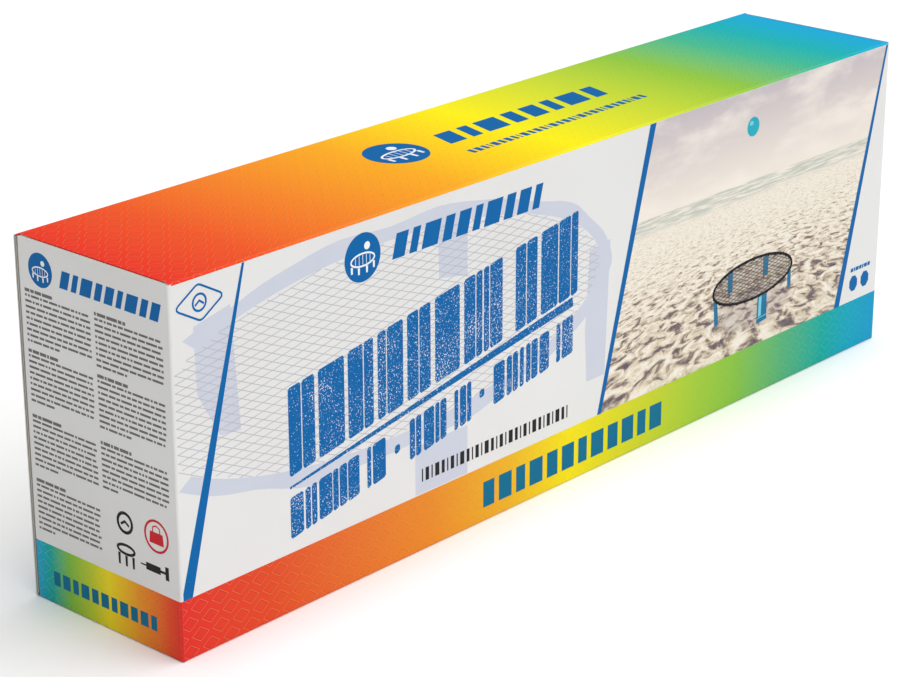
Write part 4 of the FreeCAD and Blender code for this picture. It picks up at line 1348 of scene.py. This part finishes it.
# %% Strips that follow a line
def strip_along(name, line, width, across_steps, place_point, thickness, flat_length):
    """A strip whose length follows line (points in mm); place_point(point, share) places its width."""
    bpy.ops.object.select_all(action="DESELECT")
    bpy.ops.mesh.primitive_grid_add(x_subdivisions=len(line) - 1, y_subdivisions=across_steps, size=2)
    strip = bpy.context.object
    strip.name = name
    for vertex in strip.data.vertices:
        i = round((vertex.co.x + 1) / 2 * (len(line) - 1))
        vertex.co = mm(place_point(line[i], vertex.co.y, i))
    for loop in strip.data.uv_layers.active.data:
        loop.uv = (loop.uv.x * flat_length, loop.uv.y * width)
    wall = strip.modifiers.new("wall", "SOLIDIFY")
    wall.thickness = thickness * MM
    wall.offset = 0.0
    bpy.ops.object.modifier_apply(modifier="wall")
    bpy.ops.object.mode_set(mode="EDIT")
    bpy.ops.mesh.select_all(action="SELECT")
    bpy.ops.mesh.normals_make_consistent(inside=False)
    bpy.ops.object.mode_set(mode="OBJECT")
    bpy.ops.object.shade_smooth_by_angle(angle=math.radians(60))
    return strip


def line_length(line):
    return sum(math.dist(a, b) for a, b in zip(line, line[1:]))


def woven(name, code, second, thread, roughness, kind="cloth"):
    """Cloth or netting drawn on the piece's own flat coordinates, which are in mm. thread is its spacing."""
    material = bpy.data.materials.new(name)
    material.use_nodes = True
    tree = material.node_tree
    shader = tree.nodes["Principled BSDF"]
    shader.inputs["Roughness"].default_value = roughness
    shader.inputs["Specular IOR Level"].default_value = 0.25
    shader.inputs["Sheen Weight"].default_value = 0.25
    point = add(tree, "TexCoord")
    axes = add(tree, "SeparateXYZ", [point.outputs["UV"]])
    along, across = axes.outputs["X"], axes.outputs["Y"]
    if kind == "net":
        along, across = (add(tree, "Math", [along, across], operation="ADD"),
                         add(tree, "Math", [along, across], operation="SUBTRACT"))
    waves = []
    for direction in (along, across):
        phase = add(tree, "Math", [direction, math.tau / thread], operation="MULTIPLY")
        waves.append(add(tree, "Math", [phase], operation="SINE"))
    if kind == "net":
        cords = add(tree, "Math", waves, operation="MAXIMUM")
        height_and_shade = add(tree, "MapRange", {"Value": cords, "From Min": 0.45, "From Max": 0.95})
    else:
        product = add(tree, "Math", waves, operation="MULTIPLY")
        height_and_shade = add(tree, "MapRange", {"Value": product, "From Min": -1.0, "From Max": 1.0})
    fuzz = add(tree, "TexNoise", {"Vector": point.outputs["UV"], "Scale": 0.8, "Detail": 3.0})
    # Painted shade: the low places between the threads, and the gaps between the net's cords, take the darker
    # second colour.
    tone = add(tree, "Mix", [height_and_shade, colour(second), colour(code)], data_type="RGBA")
    dirt = add(tree, "MapRange", {"Value": fuzz, "From Min": 0.35, "From Max": 0.65, "To Max": 0.2})
    tone = add(tree, "Mix", [dirt, tone.outputs[2], colour(second)], data_type="RGBA")
    bump = add(tree, "Bump", {"Strength": 0.7, "Distance": thread * 0.2 * MM, "Height": height_and_shade})
    tree.links.new(tone.outputs[2], shader.inputs["Base Color"])
    tree.links.new(bump.outputs["Normal"], shader.inputs["Normal"])
    return material


net_cord = woven("knitted_polyester_netting", "#8C9296", "#26282A", 6.0, 0.8, "net")
webbing = woven("woven_black_webbing", "#242427", "#0E0E10", 1.2, 0.7)
bag_cloth = woven("plain_woven_navy_polyester", "#1D3B66", "#122746", 0.9, 0.6)

# %% Rolled net
low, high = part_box("net_roll")
roll_centre = (low + high) / 2 / MM
roll_radius = (high.z - low.z) / 2 / MM
roll_half = (high.x - low.x) / 2 / MM
roll_wall = 2.6
roll_pitch = 3.55
roll_turns = 8
waist_draw = 4.6
spiral = []
roll_steps = roll_turns * 36
for i in range(roll_steps + 1):
    angle = math.tau * roll_turns * i / roll_steps
    wobble = 0.25 * math.sin(3 * angle + 0.7 * angle / 6)
    r = roll_radius - 1.9 - roll_pitch * (roll_turns - angle / math.tau) + wobble
    spiral.append((r * math.cos(angle), r * math.sin(angle)))


def on_roll(point, share, i):
    """Places a point of the spiral at a share of the roll's length, drawn in at the tie and at the ends."""
    x = share * (roll_half - 1.5) * (1 - 0.025 * math.sin(i * 0.11))
    drawn = waist_draw * math.exp(-(x / 13.0) ** 2) + 2.0 * max(0.0, (abs(x) - roll_half + 12) / 12) ** 2
    scale = 1 - drawn / roll_radius
    return (roll_centre.x + x, roll_centre.y + point[0] * scale, roll_centre.z + point[1] * scale)


strip_flat = line_length(spiral)
rolled = strip_along("rolled_net", spiral, 2 * roll_half, 30, on_roll, roll_wall, strip_flat)
paint(rolled, net_cord)
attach(rolled, "root")
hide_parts("net_roll")
print("net strip", round(strip_flat), "mm long, rolled", roll_turns, "times")

# %% Tie round the roll
low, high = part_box("net_tie")
tie_centre = (low + high) / 2 / MM
tie_radius = (high.z - low.z) / 2 / MM
tie_line = []
for i in range(91):
    angle = math.radians(60 + 390 * i / 90)
    lap = max(0.0, (i - 78) / 12)
    r = tie_radius - 1.15 + 0.75 * min(1.0, lap * 2)
    tie_line.append((r * math.cos(angle), r * math.sin(angle)))
tie_half = (high.x - low.x) / 2 / MM


def on_tie(point, share, i):
    return (tie_centre.x + share * tie_half, tie_centre.y + point[0], tie_centre.z + point[1])


tie = strip_along("net_strap", tie_line, 2 * tie_half, 4, on_tie, 0.65, line_length(tie_line))
paint(tie, webbing)
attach(tie, "root")
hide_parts("net_tie")
print("strap", round(line_length(tie_line)), "mm long")


# %% Folded bag
def to_and_fro(low_end, high_end, start, pitch, folds, sag=0.0):
    """A line that runs to and fro between two ends, each run a pitch further on, with round folds."""
    line = []
    radius = pitch / 2
    for run in range(folds):
        here = start + run * pitch
        up = run % 2 == 0
        steps = 14
        for k in range(steps + 1):
            share = k / steps if up else 1 - k / steps
            at = low_end + radius + share * (high_end - low_end - 2 * radius)
            line.append((here + sag * math.sin(math.pi * share) * math.sin(run * 1.7 + 1), at))
        if run < folds - 1:
            tip = high_end - radius if up else low_end + radius
            for k in range(1, 6):
                angle = math.pi * k / 6
                rise = math.sin(angle) * radius * (1 if up else -1)
                line.append((here + radius - math.cos(angle) * radius, tip + rise))
    return line


low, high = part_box("carry_bag")
bag_low, bag_high = low / MM, high / MM
bag_wall, bag_pitch, bag_folds = 2.2, 3.05, 8
bag_line = to_and_fro(bag_low.z + 1.6, bag_high.z - 1.6, bag_low.y + 2.6, bag_pitch, bag_folds, 0.25)
bag_half = (bag_high.x - bag_low.x) / 2


def on_bag(point, share, i):
    """Places a point of the folded line along the bag, a little uneven at the edges."""
    ragged = 1 - 0.018 * math.sin(i * 0.37) ** 2
    lean_here = 0.35 * math.sin(share * 5.0 + i * 0.05)
    return ((bag_low.x + bag_high.x) / 2 + share * (bag_half - 0.5) * ragged, point[0] + lean_here, point[1])


folded = strip_along("folded_bag", bag_line, 2 * bag_half, 24, on_bag, bag_wall, line_length(bag_line))
paint(folded, bag_cloth)
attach(folded, "root")
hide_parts("carry_bag")
print("bag strip", round(line_length(bag_line)), "mm long in", bag_folds, "layers")


# %% Leaflet
def leaflet_paper():
    """Uncoated wood-free paper with columns of fine grey lines of print."""
    material = bpy.data.materials.new("uncoated_printed_paper")
    material.use_nodes = True
    tree = material.node_tree
    shader = tree.nodes["Principled BSDF"]
    shader.inputs["Roughness"].default_value = 0.9
    shader.inputs["Specular IOR Level"].default_value = 0.2
    point = add(tree, "TexCoord")
    place = add(tree, "VectorMath", [point.outputs["Object"]], operation="SCALE")
    place.inputs["Scale"].default_value = 1 / MM
    axes = add(tree, "SeparateXYZ", [place])
    row = add(tree, "Math", [axes.outputs["Y"], 2.6], operation="FLOORED_MODULO")
    in_row = add(tree, "Math", [row, 0.9], operation="LESS_THAN")
    words = add(tree, "TexNoise", {"Vector": add(tree, "CombineXYZ", {
        "X": add(tree, "Math", [axes.outputs["X"], 0.35], operation="MULTIPLY"),
        "Y": add(tree, "Math", [add(tree, "Math", [axes.outputs["Y"], 2.6], operation="DIVIDE")],
                 operation="FLOOR")}), "Scale": 1.3, "Detail": 0.0})
    in_word = add(tree, "Math", [words, 0.44], operation="GREATER_THAN")
    column = add(tree, "Math", [axes.outputs["X"], 47.0], operation="FLOORED_MODULO")
    in_column = add(tree, "Math", [column, 5.0], operation="GREATER_THAN")
    print_here = add(tree, "Math", [in_row, in_word], operation="MULTIPLY")
    print_here = add(tree, "Math", [print_here, in_column], operation="MULTIPLY")
    print_here = add(tree, "Math", [print_here, 0.7], operation="MULTIPLY")
    fibres = add(tree, "TexNoise", {"Vector": place, "Scale": 1.5, "Detail": 4.0})
    paper = add(tree, "Mix", [fibres, colour("#EFEDE6"), colour("#F8F6F1")], data_type="RGBA")
    tone = add(tree, "Mix", [print_here, paper.outputs[2], colour("#4A4A4C")], data_type="RGBA")
    bump = add(tree, "Bump", {"Strength": 0.3, "Distance": 0.04 * MM, "Height": fibres})
    tree.links.new(tone.outputs[2], shader.inputs["Base Color"])
    tree.links.new(bump.outputs["Normal"], shader.inputs["Normal"])
    return material


low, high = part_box("leaflet")
leaf_low, leaf_high = low / MM, high / MM
leaf_line = to_and_fro(leaf_low.y + 0.1, leaf_high.y - 0.1, leaf_low.z + 0.12, 0.24, 5)
leaf_half = (leaf_high.x - leaf_low.x) / 2


def on_leaflet(point, share, i):
    return ((leaf_low.x + leaf_high.x) / 2 + share * (leaf_half - 0.1), point[1], point[0])


leaflet = strip_along("folded_leaflet", leaf_line, 2 * leaf_half, 2, on_leaflet, 0.13, line_length(leaf_line))
paint(leaflet, leaflet_paper())
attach(leaflet, "root")
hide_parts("leaflet")
print("leaflet in 5 layers")

# %% [markdown]
# ## Finish
# The CAD model's size is printed.

# %% Print the CAD model's size
print("cad", [round(x, 4) for x in (*cad_low, *cad_high)])
